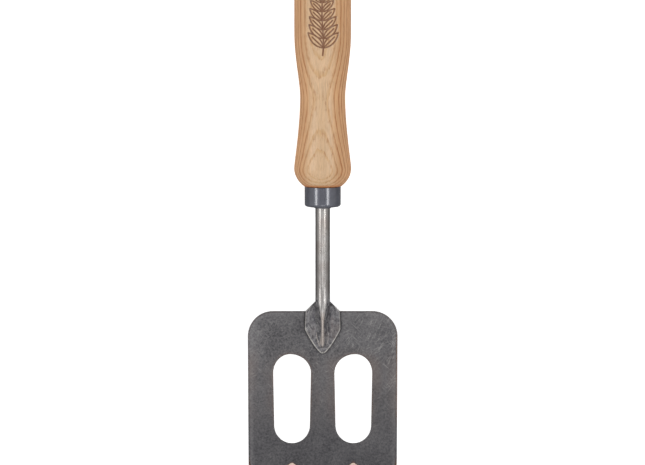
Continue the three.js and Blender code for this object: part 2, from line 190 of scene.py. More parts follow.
class HandleSizes(bpy.types.PropertyGroup):
    tilt: turn("Tilt", 6, "Rise of the handle's axis above the ground")
    foot_diameter: distance("Foot diameter", 21.2 * MM, "Diameter where the wood meets the ferrule")
    swell_diameter: distance("Swell diameter", HANDLE_HIGH.x - HANDLE_LOW.x, "Blank of the lower swell")
    swell_height: distance("Swell height", 10.1 * MM, "From the foot to the swell")
    waist_diameter: distance("Waist diameter", 25.1 * MM, "Diameter of the waist")
    swell_to_waist: distance("Swell to waist", 39.3 * MM, "From the swell to the waist")
    palm_diameter: distance("Palm diameter", 31.8 * MM, "Diameter of the palm part")
    waist_to_palm: distance("Waist to palm", 36 * MM, "From the waist to the palm part")
    palm_length: distance("Palm length", 28.5 * MM, "Length of the straight palm part")
    butt_length: distance("Butt length", 28 * MM, "Length of the round butt")
    foot_flare: share("Foot flare", 0.55, "How quickly the wood widens above the ferrule")
    foot_rise: share("Foot rise", 0.22, "How steeply it does so")
    swell_hold_below: share("Swell hold below", 0.45, "How long the swell is held below its widest part")
    swell_hold_above: share("Swell hold above", 0.05, "The same above it")
    waist_hold_below: share("Waist hold below", 0.4, "How long the waist is held below its thinnest part")
    waist_hold_above: share("Waist hold above", 0.25, "The same above it")
    palm_hold: share("Palm hold", 0.4, "How long the palm part is held towards the waist")
    butt_fullness: share("Butt fullness", 0.75, "How full the butt is")
    sanding: distance("Sanding", 0.12 * MM, "How far the finished wood lies inside its blank")
    segments: count("Segments", 200, "Facets round the handle")


class SprigSizes(bpy.types.PropertyGroup):
    start: distance("Start", 85 * MM, "Where the stem starts, along the handle's axis")
    length: distance("Length", 31 * MM, "Length of the stem without its last leaf")
    pairs: count("Leaf pairs", 6, "Pairs of leaves on the stem")
    leaf_length: distance("Leaf length", 12 * MM, "Length of the lowest leaves")
    leaf_width: distance("Leaf width", 4.2 * MM, "Width of the lowest leaves")
    leaf_angle: turn("Leaf angle", 48, "Angle between a leaf and the stem")
    last_scale: share("Last scale", 0.62, "Size of the highest leaves, against the lowest ones")
    stroke: distance("Stroke", 0.62 * MM, "Width of the burnt lines")
    softness: distance("Softness", 0.22 * MM, "Width of a line's scorched margin")
    depth: distance("Depth", 0.3 * MM, "Depth that the lines are burnt in to")


class Finishes(bpy.types.PropertyGroup):
    early_wood: colour("Early wood", (158, 98, 51), "Porous start of a growth ring")
    late_wood: colour("Late wood", (209, 175, 138), "Pale rest of a growth ring")
    # Side wood is the colour of rings cut upright, made darker also as painted shade on the handle's sides
    side_wood: colour("Side wood", (201, 155, 111), "The same, where the rings are cut upright")
    end_grain: colour("End grain", (206, 165, 123), "Wood that is cut across its fibres")
    burnt_wood: colour("Burnt wood", (108, 64, 40), "Lines of the burnt sprig")
    core_line: colour("Core line", (194, 150, 99), "Start of a growth ring where the saw ran along it")
    # The foot line is painted shade: a darker band where the wood meets the ferrule, in an end-grain brown
    foot_line: colour("Foot line", (188, 122, 72), "Fibres that are cut short above the ferrule")
    ring_width: distance("Ring width", 1.28 * MM, "Width of the outermost growth ring")
    scale_dark: colour("Dark scale", (60, 59, 63), "Darker patches of the blade")
    scale_light: colour("Light scale", (138, 136, 137), "Lighter patches of the blade")
    heat_tint: colour("Heat tint", (124, 102, 90), "Brown tint along cut and ground edges")
    grind_burn: colour("Grinding burn", (88, 66, 58), "Steel that was burnt beside the ground bevels")
    # Seam shade is painted shade: the crevice shadow round the foot, put into the blade's colour
    seam_shade: colour("Seam shade", (46, 45, 48), "Dirt in the seam round the foot")
    ground_steel: colour("Ground steel", (227, 203, 187), "Freshly ground bevels")
    drawn_steel: colour("Drawn steel", (184, 181, 178), "Brushed neck and rib")
    rubbed_steel: colour("Rubbed steel", (180, 170, 163), "Crest of the rib")
    forged_steel: colour("Forged steel", (124, 122, 124), "Lighter patches of the foot's flanks")
    forged_dark: colour("Forged dark", (76, 75, 79), "Darker patches of them")
    # The bright rim is partly worn steel and partly a painted highlight of the rounded edge
    worn_rim: colour("Worn rim", (194, 190, 185), "Rim of the foot, worn bright")
    weld_steel: colour("Weld steel", (120, 116, 112), "Fused steel in the joint")
    lacquer: colour("Lacquer", (78, 80, 91), "Blue-grey lacquer of the ferrule")


class StudioSettings(bpy.types.PropertyGroup):
    camera_height: distance("Camera height", 2.0, "Height of the camera above the floor")
    view_width: distance("View width", 362.4 * MM, "Width of the floor that the picture shows")
    view_x: distance("View X", -0.1 * MM, "Middle of the picture, across the tool", least=-1.0)
    view_y: distance("View Y", 2.95 * MM, "Middle of the picture, along the tool", least=-1.0)
    strip_power: amount("Strip power", 3.3, "Power of each of the two strip lights, in watts")
    front_power: amount("Front power", 1.2, "Power of the soft box towards the tines, in watts")
    sky: amount("Sky", 0.55, "Brightness of the white room")


# Node trees, for materials and for geometry alike

NODE_SPACING = 200


class Nodes:
    """Adds nodes to a tree and links them as it goes."""

    def __init__(self, tree):
        self.tree = tree

    def feed(self, socket, value):
        """Links a socket to another node's, or sets it to a plain value."""
        if isinstance(value, bpy.types.NodeSocket):
            self.tree.links.new(value, socket)
        else:
            socket.default_value = value

    def add(self, kind, inputs=None, **settings):
        """A new node, with its settings and with its inputs linked or set."""
        node = self.tree.nodes.new(kind)
        node.location = (NODE_SPACING * len(self.tree.nodes), 0)
        for name, value in settings.items():
            setattr(node, name, value)
        for key, value in (inputs or {}).items():
            self.feed(node.inputs[key], value)
        return node

    def math(self, operation, a, b=0.0):
        return self.add("ShaderNodeMath", {0: a, 1: b}, operation=operation).outputs[0]

    def less(self, a, b):
        return self.math("SUBTRACT", a, b)

    def total(self, base, *weighted):
        """A number and some layers, each times its weight."""
        for layer, weight in weighted:
            base = self.math("ADD", base, self.math("MULTIPLY", layer, weight))
        return base

    def product(self, first, *others):
        for other in others:
            first = self.math("MULTIPLY", first, other)
        return first

    def between(self, start, end, part):
        """The value at a share of the way from start to end."""
        return self.total(start, (self.less(end, start), part))

    def swing(self, layer):
        """Noise of 0 to 1 as a swing about 0."""
        return self.less(layer, 0.5)

    def vector(self, operation, a, b):
        return self.add("ShaderNodeVectorMath", {0: a, 1: b}, operation=operation).outputs[0]

    def scaled(self, a, factor):
        return self.add("ShaderNodeVectorMath", {0: a, "Scale": factor}, operation="SCALE").outputs[0]

    def unit(self, a):
        return self.add("ShaderNodeVectorMath", {0: a}, operation="NORMALIZE").outputs[0]

    def length(self, a):
        return self.add("ShaderNodeVectorMath", {0: a}, operation="LENGTH").outputs["Value"]

    def dot(self, a, b):
        return self.add("ShaderNodeVectorMath", {0: a, 1: b}, operation="DOT_PRODUCT").outputs["Value"]

    def point(self, x, y, z=0.0):
        return self.add("ShaderNodeCombineXYZ", {0: x, 1: y, 2: z}).outputs[0]

    def grey(self, tone):
        return self.point(tone, tone, tone)

    def parts(self, vector):
        return self.add("ShaderNodeSeparateXYZ", {0: vector}).outputs

    def fade(self, value, start, end, low=0.0, high=1.0):
        """From low at start to high at end, smoothly, and level outside them."""
        inputs = {"Value": value, "From Min": start, "From Max": end, "To Min": low, "To Max": high}
        return self.add("ShaderNodeMapRange", inputs, interpolation_type="SMOOTHSTEP").outputs[0]

    def speckle(self, vector, stretch, detail=2.0, roughness=0.5):
        """Noise of about 0 to 1, with the vector multiplied by stretch, in features per unit."""
        inputs = {
            "Vector": self.vector("MULTIPLY", vector, stretch),
            "Scale": 1.0,
            "Detail": detail,
            "Roughness": roughness,
        }
        return self.add("ShaderNodeTexNoise", inputs).outputs[0]

    def mix(self, factor, a, b, blend="MIX"):
        inputs = {0: factor, 6: opaque(a), 7: opaque(b)}
        return self.add("ShaderNodeMix", inputs, data_type="RGBA", blend_type=blend).outputs[2]

    def attribute(self, name):
        return self.add("ShaderNodeAttribute", attribute_name=name).outputs["Fac"]

    def bump(self, height, depth, strength=1.0):
        inputs = {"Height": height, "Distance": depth, "Strength": strength}
        return self.add("ShaderNodeBump", inputs).outputs[0]

    def line(self, start, end):
        return self.add("GeometryNodeCurvePrimitiveLine", {"Start": start, "End": end}).outputs[0]

    def curve(self, steps, start, start_handle, end_handle, end):
        """A Bezier curve in a number of steps, from start to end by way of its two handles."""
        inputs = {
            "Resolution": steps,
            "Start": start,
            "Start Handle": start_handle,
            "End Handle": end_handle,
            "End": end,
        }
        return self.add("GeometryNodeCurvePrimitiveBezierSegment", inputs, mode="POSITION").outputs[0]

    def joined(self, *shapes):
        whole = self.add("GeometryNodeJoinGeometry")
        for shape in shapes:
            self.tree.links.new(shape, whole.inputs[0])
        return whole.outputs[0]


def opaque(shade):
    if isinstance(shade, bpy.types.NodeSocket) or len(shade) == 4:
        return shade
    return (*shade, 1.0)


def new_finish(name):
    """A material with an empty Principled shader, with its nodes and that shader."""
    material = bpy.data.materials.new(name)
    material.use_nodes = True
    material.node_tree.nodes.clear()
    nodes = Nodes(material.node_tree)
    shader = nodes.add("ShaderNodeBsdfPrincipled")
    nodes.add("ShaderNodeOutputMaterial", {"Surface": shader.outputs[0]})
    return material, nodes, shader


def set_shader(nodes, shader, **values):
    """Sets or links the shader's inputs, whose names are written in lower case."""
    for key, value in values.items():
        nodes.feed(shader.inputs[key.replace("_", " ").title().replace("Ior", "IOR")], value)


def in_millimetres(nodes, origin=(0, 0, 0), tilt=0.0):
    """Object coordinates in millimetres from an origin, turned back by a tilt about X."""
    place = {
        "Vector": nodes.add("ShaderNodeTexCoord").outputs["Object"],
        "Location": origin,
        "Rotation": (tilt, 0, 0),
        "Scale": (MM, MM, MM),
    }
    return nodes.add("ShaderNodeMapping", place, vector_type="TEXTURE").outputs[0]


# Finishes, with their patterns in millimetres and in features per millimetre

PITH_DEPTH = 62.7
PITH_TURN = math.radians(5)
BARK_DEPTH = 78.4
RING_GROWTH = 12
FIRST_RING = 0.86
LAST_RING = 0.97
RING_WARPS = (((0.05, 0.014, 0.05), 2.0), ((0.5, 0.05, 0.5), 0.5), ((1.5, 0.12, 1.5), 0.25))
SEASONS_PER_RING = 0.9
SEASON_SWING = 0.6
FOOT_LINE = 11.8
FOOT_FADE = 1.4
WOOD_RELIEF = 0.06 * MM
PLATE_RELIEF = 0.04 * MM
BAR_RELIEF = 0.02 * MM
WELD_RELIEF = 0.05 * MM
LACQUER_RELIEF = 0.02 * MM
BLADE_SCRATCHES = ((38, 0), (-47, 7), (68, 2), (24, 11))
SHANK_SCRATCHES = ((62, 3), (-35, 9), (20, 5))


def growth_rings(nodes, grain, across, ring_width):
    """How old the wood is within its growth ring: 0 where the ring starts and 1 where it ends.

    The rings get wider from the bark to the pith, and good and bad seasons shift them.
    """
    depth = nodes.less(BARK_DEPTH, nodes.length(across))
    for stretch, reach in RING_WARPS:
        depth = nodes.total(depth, (nodes.swing(nodes.speckle(grain, stretch, detail=1)), reach))
    outer_width = RING_GROWTH * ring_width / MM
    inwards = nodes.math("ADD", 1.0, nodes.math("DIVIDE", depth, outer_width))
    age = nodes.total(FIRST_RING, (nodes.math("LOGARITHM", inwards, math.e), -RING_GROWTH))
    inputs = {"W": age, "Scale": SEASONS_PER_RING, "Detail": 1.0}
    seasons = nodes.add("ShaderNodeTexNoise", inputs, noise_dimensions="1D").outputs[0]
    age = nodes.total(age, (nodes.swing(seasons), SEASON_SWING))
    return nodes.math("FRACT", nodes.math("MINIMUM", age, LAST_RING))


def wood_cuts(nodes, across, tilt):
    """How upright the surface cuts the growth rings, and how far it cuts across the fibres, as shares."""
    facing = nodes.add("ShaderNodeTexCoord").outputs["Normal"]
    turned = {"Vector": nodes.unit(across), "Angle": tilt}
    from_pith = nodes.add("ShaderNodeVectorRotate", turned, rotation_type="X_AXIS").outputs[0]
    axis = (0, math.cos(tilt), math.sin(tilt))
    along = nodes.dot(facing, axis)
    sideways = nodes.unit(nodes.vector("SUBTRACT", facing, nodes.scaled(axis, along)))
    upright = nodes.fade(nodes.math("ABSOLUTE", nodes.dot(sideways, from_pith)), 1.0, 0.8)
    return upright, nodes.fade(nodes.math("ABSOLUTE", along), 0.7, 0.95)


def ash_wood(finishes, grip, tilt):
    """Turned and oiled ash: growth rings about a pith far behind the handle, open pores and fine fibres."""
    material, nodes, shader = new_finish("oiled_ash")
    grain = in_millimetres(nodes, grip.translation, tilt)
    pith = (PITH_DEPTH * math.sin(PITH_TURN), 0, -PITH_DEPTH * math.cos(PITH_TURN))
    across = nodes.vector("SUBTRACT", nodes.vector("MULTIPLY", grain, (1, 0, 1)), pith)
    ring = growth_rings(nodes, grain, across, finishes.ring_width)
    side_cut, end_cut = wood_cuts(nodes, across, tilt)
    pores = nodes.speckle(grain, (1.3, 0.28, 1.3), detail=1)
    open_pores = nodes.product(nodes.fade(pores, 0.54, 0.68), nodes.fade(ring, 0.65, 0.2, 0.25, 1))
    fibres = nodes.speckle(grain, (1.5, 0.07, 1.5), detail=3, roughness=0.7)
    ragged = nodes.speckle(grain, (1.1, 0.11, 1.1), detail=2)
    clouds = nodes.speckle(grain, (0.12, 0.02, 0.12), detail=2)

    # Upright cuts lie on the handle's sides: their grain colour there carries a painted shade as well
    wood = nodes.mix(side_cut, finishes.late_wood, finishes.side_wood)
    wood = nodes.mix(nodes.math("MULTIPLY", end_cut, 0.8), wood, finishes.end_grain)
    early_end = nodes.fade(side_cut, 0, 1, 0.42, 0.5)
    early = nodes.product(nodes.fade(ring, early_end, 0.1), nodes.fade(ring, 0.0, 0.06))
    strength = nodes.fade(side_cut, 0, 1, 0.62, 0.95)
    lines = nodes.product(early, strength, nodes.fade(ragged, 0.35, 0.6, 0.6, 1))
    wood = nodes.mix(lines, wood, nodes.mix(side_cut, finishes.core_line, finishes.early_wood))
    wood = nodes.mix(nodes.math("MULTIPLY", open_pores, 0.4), wood, finishes.early_wood)
    streaks = nodes.fade(fibres, 0.25, 0.75, 0.88, 1.1)
    tone = nodes.math("ADD", streaks, nodes.fade(clouds, 0.3, 0.7, -0.04, 0.04))
    wood = nodes.mix(1.0, wood, nodes.grey(tone), "MULTIPLY")
    # Painted shade: a darker band on the wood just above the ferrule's mouth
    foot = nodes.fade(nodes.parts(grain)[1], FOOT_LINE + FOOT_FADE, FOOT_LINE)
    wood = nodes.mix(foot, wood, finishes.foot_line)
    scorch = nodes.math("MULTIPLY", nodes.attribute("burn"), nodes.fade(pores, 0.3, 0.7, 0.95, 0.78))
    wood = nodes.mix(scorch, wood, finishes.burnt_wood)

    relief = nodes.total(nodes.math("MULTIPLY", open_pores, -1.0), (fibres, 0.4))
    set_shader(
        nodes,
        shader,
        base_color=wood,
        roughness=nodes.fade(early, 0, 1, 0.38, 0.52),
        specular_ior_level=0.45,
        normal=nodes.bump(relief, WOOD_RELIEF),
    )
    return material


def scratches(nodes, place, directions):
    """Short straight scratches, in directions of (degrees, shift)."""
    marks = 0.0
    for degrees, shift in directions:
        inputs = {"Vector": place, "Location": (shift, 0, 0), "Rotation": (0, 0, math.radians(degrees))}
        lined = nodes.add("ShaderNodeMapping", inputs).outputs[0]
        lines = nodes.speckle(lined, (1.9, 0.14, 1.0), detail=0)
        patches = nodes.speckle(lined, (0.1, 0.1, 1.0), detail=1)
        scratched = nodes.product(nodes.fade(lines, 0.66, 0.76), nodes.fade(patches, 0.45, 0.6))
        marks = nodes.math("MAXIMUM", marks, scratched)
    return marks


def blade_steel(finishes):
    """Heat-treated plate: mottled dark scale, brown along the cut edges, bare where the tines are ground."""
    material, nodes, shader = new_finish("heat_treated_plate")
    place = in_millimetres(nodes, (0, TOP_EDGE, 0))
    x, y, _ = nodes.parts(place)
    rim = nodes.attribute("rim")
    ground = nodes.attribute("ground")
    seam = nodes.attribute("seam")
    clouds = nodes.speckle(place, (0.05, 0.035, 0.05), detail=3, roughness=0.6)
    patches = nodes.speckle(place, (0.11, 0.09, 0.11), detail=2)
    blots = nodes.speckle(place, (0.33, 0.33, 0.33), detail=3, roughness=0.7)
    grain = nodes.speckle(place, (0.9, 0.9, 0.9), detail=2, roughness=0.65)

    # Stretches of the blade, in millimetres from the middle of its top edge
    upper = nodes.fade(y, -84, -20)
    crown = nodes.fade(y, -36, -24)
    legs = nodes.product(nodes.fade(y, -26, -34), nodes.fade(y, -72, -62))
    shoulders = nodes.product(nodes.fade(y, -18, -30), nodes.fade(y, -75, -40))
    outer = nodes.math("MAXIMUM", nodes.fade(nodes.math("ABSOLUTE", x), 32, 36), nodes.fade(y, -10, -6))
    right = nodes.product(nodes.fade(x, 30, 36), nodes.fade(y, -8, -18))
    rightwards = nodes.fade(x, -25, 25, 0.55, 1.15)
    tint_height = nodes.fade(y, -70, -52, 0.05, 1)
    seam_height = nodes.fade(y, -16, -10, 0.45, 0.58)

    # Strips along its edges, its bevels and the seam, by their distances to them
    strip = nodes.product(nodes.fade(rim, 0.7 * MM, 1.3 * MM), nodes.fade(rim, 3.5 * MM, 1.8 * MM))
    near_rim = nodes.fade(rim, 9 * MM, 1 * MM)
    at_rim = nodes.fade(rim, 1.4 * MM, 0.3 * MM)
    burnt = nodes.fade(ground, -1.5 * MM, -0.2 * MM, 0, 0.9)
    bare = nodes.fade(ground, -0.05 * MM, 0.1 * MM)
    in_seam = nodes.fade(seam, 1.1 * MM, 0.2 * MM)

    mottle = nodes.total(-1.3, (clouds, 0.5), (patches, 0.35), (blots, 0.55), (grain, 1.2))
    mottle = nodes.product(mottle, nodes.fade(upper, 0, 0.6, 0.65, 1), nodes.fade(legs, 0, 1, 0.92, 0.65))
    # Painted highlight: a lighter band just inside the outer sides and the top edge, where the rounded,
    # dished margin catches the light
    margin = nodes.product(strip, outer)
    tone = nodes.total(0.25, (upper, 0.28), (crown, -0.07), (mottle, 1), (margin, 0.15))
    steel = nodes.mix(tone, finishes.scale_dark, finishes.scale_light)
    marks = scratches(nodes, place, BLADE_SCRATCHES)
    marks = nodes.product(marks, nodes.fade(upper, 0.3, 0.9, 0.05, 0.28), rightwards)
    steel = nodes.mix(marks, steel, finishes.drawn_steel)

    glow = nodes.product(shoulders, near_rim, nodes.fade(clouds, 0.35, 0.65, 0.05, 0.25))
    browned = nodes.total(nodes.fade(outer, 0, 1, 0.45, 0.15), (right, 0.6))
    tint = nodes.product(at_rim, browned, nodes.fade(blots, 0.35, 0.6, 0.5, 1), tint_height)
    steel = nodes.mix(nodes.math("MAXIMUM", glow, tint), steel, finishes.heat_tint)
    steel = nodes.mix(burnt, steel, finishes.grind_burn)
    # Painted shade in the crevice round the leaf-shaped foot, a little stronger towards the blade's top edge
    steel = nodes.mix(nodes.product(in_seam, seam_height), steel, finishes.seam_shade)
    grinding = nodes.speckle(place, (0.12, 1.7, 0.12), detail=2, roughness=0.6)
    furrows = nodes.fade(grinding, 0.35, 0.7, 0, 0.4)
    steel = nodes.mix(bare, steel, nodes.mix(furrows, finishes.ground_steel, finishes.drawn_steel))

    set_shader(
        nodes,
        shader,
        base_color=steel,
        metallic=nodes.fade(bare, 0, 1, 0.9, 0.2),
        roughness=nodes.total(nodes.fade(blots, 0.3, 0.7, 0.46, 0.6), (bare, -0.1)),
        normal=nodes.bump(nodes.math("ADD", blots, grain), PLATE_RELIEF, 0.6),
    )
    return material


def shank_steel(finishes):
    """One forged bar: brushed along the neck and the rib, dark on the flanks, and bright at the rim, which is
    worn steel with a painted highlight of its rounded edge.
    """
    material, nodes, shader = new_finish("forged_bar")
    place = in_millimetres(nodes, (0, TOP_EDGE, 0))
    y = nodes.parts(place)[1]
    brushing = nodes.speckle(place, (1.3, 0.05, 1.3), detail=2)
    grain = nodes.speckle(place, (0.55, 0.45, 0.55), detail=3, roughness=0.6)
    stains = nodes.speckle(place, (0.16, 0.09, 0.16), detail=2)
    bare = nodes.fade(nodes.total(nodes.attribute("bare"), (nodes.swing(grain), 0.4)), 0.25, 0.75)
    rim = nodes.fade(nodes.attribute("rim"), 0.8 * MM, 0.35 * MM)

    # Stretches of the bar, in millimetres above the blade's top edge
    low_neck = nodes.fade(y, 45, 10, 0, 0.3)
    neck_end = nodes.product(nodes.fade(y, 16, 8), nodes.fade(y, 2, 6))
    on_rib = nodes.fade(y, 1, -4, 0, 0.85)
    low_rim = nodes.fade(y, -8, -12, 0.5, 1)

    # Worn steel and a painted highlight along the foot's rim, stronger towards its lower part
    worn = nodes.product(rim, low_rim, nodes.fade(grain, 0.3, 0.6, 0.6, 1))
    dark = nodes.mix(nodes.fade(grain, 0.35, 0.65), finishes.forged_dark, finishes.forged_steel)
    dark = nodes.mix(nodes.fade(stains, 0.5, 0.7, 0, 0.18), dark, finishes.heat_tint)
    marks = scratches(nodes, place, SHANK_SCRATCHES)
    dark = nodes.mix(nodes.math("MULTIPLY", marks, 0.5), dark, finishes.drawn_steel)
    light = nodes.mix(nodes.fade(stains, 0.35, 0.7, 0.0, 0.35), finishes.drawn_steel, finishes.heat_tint)
    light = nodes.mix(nodes.fade(grain, 0.5, 0.75, 0.0, 0.2), light, finishes.heat_tint)
    light = nodes.mix(low_neck, light, finishes.forged_steel)
    light = nodes.mix(on_rib, light, finishes.rubbed_steel)
    steel = nodes.mix(bare, dark, light)

    roughness = nodes.total(
        nodes.fade(bare, 0, 1, 0.5, 0.31),
        (nodes.fade(brushing, 0.3, 0.7, -0.05, 0.06), 1),
        (neck_end, 0.05),
    )
    relief = nodes.total(0.0, (brushing, 0.5), (grain, nodes.fade(bare, 0, 1, 1, 0.1)))
    set_shader(
        nodes,
        shader,
        base_color=nodes.mix(worn, steel, finishes.worn_rim),
        metallic=nodes.total(nodes.fade(bare, 0, 1, 0.5, 1.0), (worn, -0.2)),
        roughness=roughness,
        normal=nodes.bump(relief, BAR_RELIEF, 0.5),
    )
    return material


def weld_steel(finishes):
    """Fused steel, rough and blued."""
    material, nodes, shader = new_finish("fused_steel")
    place = in_millimetres(nodes, (0, TOP_EDGE, 0))
    grain = nodes.speckle(place, (1.5, 1.5, 1.5), detail=4, roughness=0.7)
    set_shader(
        nodes,
        shader,
        base_color=nodes.mix(nodes.fade(grain, 0.3, 0.7), finishes.weld_steel, finishes.heat_tint),
        metallic=1.0,
        roughness=nodes.fade(grain, 0.3, 0.7, 0.5, 0.7),
        normal=nodes.bump(grain, WELD_RELIEF),
    )
    return material


def ferrule_lacquer(finishes):
    """Smooth lacquer over drawn steel, with faint drawing lines under it."""
    material, nodes, shader = new_finish("ferrule_lacquer")
    place = in_millimetres(nodes)
    drawing = nodes.speckle(place, (2.2, 0.15, 2.2), detail=2)
    clouds = nodes.speckle(place, (0.25, 0.25, 0.25), detail=2)
    cloudy = nodes.fade(clouds, 0.3, 0.7, 0.88, 1.1)
    tone = nodes.math("ADD", cloudy, nodes.fade(drawing, 0.3, 0.7, -0.06, 0.06))
    set_shader(
        nodes,
        shader,
        base_color=nodes.mix(1.0, nodes.grey(tone), finishes.lacquer, "MULTIPLY"),
        metallic=0.35,
        roughness=nodes.fade(clouds, 0.3, 0.7, 0.32, 0.4),
        coat_weight=1.0,
        coat_roughness=0.16,
        coat_ior=1.75,
        normal=nodes.bump(nodes.math("ADD", drawing, clouds), LACQUER_RELIEF, 0.5),
    )
    return material


# Making and placing pieces

def keep(piece, slot, *nodes):
    """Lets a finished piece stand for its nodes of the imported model."""
    if not piece.data.polygons:
        raise RuntimeError(f"{piece.name} came out empty")
    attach(piece, BODY)
    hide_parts(*nodes)


def new_piece(name, data):
    """A new object in the scene, from a mesh, a light or a camera."""
    piece = bpy.data.objects.new(name, data)
    bpy.context.scene.collection.objects.link(piece)
    return piece


def store(mesh, name, values):
    """Stores one number for each point of a mesh."""
    attribute = mesh.attributes.new(name, "FLOAT", "POINT")
    attribute.data.foreach_set("value", np.asarray(values, np.float32))


def bands(start, rows, number):
    """Faces between rows of points that each run once round, numbered on from start."""
    faces = []
    for row in range(rows - 1):
        for i in range(number):
            here = start + row * number + i
            beside = start + row * number + (i + 1) % number
            faces.append((here, beside, beside + number, here + number))
    return faces


def face_outwards(mesh):
    """Turns the faces of a closed skin outwards."""
    shape = bmesh.new()
    shape.from_mesh(mesh)
    bmesh.ops.recalc_face_normals(shape, faces=shape.faces)
    shape.to_mesh(mesh)
    shape.free()


def grip_place(handle, ferrule):
    """The handle's axis as Y, from the ferrule's mouth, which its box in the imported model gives."""
    rim = ferrule.diameter / 2
    sine = math.sin(handle.tilt)
    cosine = math.cos(handle.tilt)
    mouth_y = FERRULE_HIGH.y - ferrule.length * cosine - rim * sine
    mouth_z = FERRULE_HIGH.z - ferrule.length * sine - rim * cosine
    return Matrix.Translation((0, mouth_y, mouth_z)) @ Matrix.Rotation(handle.tilt, 4, "X")


# Blade

ARC_STEP = math.radians(6)
EDGE_STEP = 0.6 * MM
PLATE_STEP = 1.6 * MM
# Points along creases and the seam that come closer than this to an edge are left out
EDGE_GAP = 0.25 * EDGE_STEP
# The same for points of the net, close to an edge, a crease or the seam
PLATE_GAP = 0.4 * PLATE_STEP
ROUND_ROWS = 6
# Share of the plate's thickness that the round of an edge may take
MOST_ROUND = 0.4
# How much faster a bevel narrows beyond the end of its ground edge
BEVEL_POINT = 2.0
CREASE_STEP = 0.1
ON_LINE = 1e-3
SAME_POINT = 1e-7
SEAM_OFFSETS = (0.1 * MM, 0.5 * MM, 0.9 * MM)
SEAM_STRIDE = 4
WAVE_LENGTH = 9 * MM
WAVE_MARGIN = 4 * MM
# Points above this share of a ground edge's thickness belong to the front
FRONT_FROM = 0.4
# A distance that is longer than any on the blade, for points that aren't on the front
OFF_THE_FRONT = 1.0


def plain(points):
    """Points as the rows of an array."""
    return np.array([tuple(point) for point in points])


def crossing(a, b, c, d):
    """Where the line through a and b meets the line through c and d."""
    along = b - a
    other = d - c
    reach = (c - a).cross(other) / along.cross(other)
    return a + along * reach


def arc_points(centre, radii, start, end):
    """Points along a round or an ellipse, from one angle to another."""
    steps = max(2, math.ceil(abs(end - start) / ARC_STEP))
    angles = [start + (end - start) * step / steps for step in range(steps + 1)]
    return [centre + Vector((radii[0] * math.cos(a), radii[1] * math.sin(a))) for a in angles]


def filleted(corners):
    """A closed outline through corners of (point, radius), each rounded by an arc."""
    outline = []
    for i, (corner, radius) in enumerate(corners):
        before = (corners[i - 1][0] - corner).normalized()
        after = (corners[(i + 1) % len(corners)][0] - corner).normalized()
        half = before.angle(after) / 2
        centre = corner + (before + after).normalized() * (radius / math.sin(half))
        reach = radius / math.tan(half)
        first = corner + before * reach - centre
        last = corner + after * reach - centre
        start = math.atan2(first.y, first.x)
        sweep = math.remainder(math.atan2(last.y, last.x) - start, 2 * math.pi)
        outline += arc_points(centre, (radius, radius), start, start + sweep)
    return outline


def spaced(outline, step):
    """The same closed outline with its long sides divided."""
    points = []
    for i, point in enumerate(outline):
        ahead = outline[(i + 1) % len(outline)]
        pieces = max(1, math.ceil((ahead - point).length / step))
        points += [point.lerp(ahead, piece / pieces) for piece in range(pieces)]
    return plain(points)


def mirrored(point):
    """The same point on the other side of the blade's middle."""
    return Vector((-point.x, point.y))


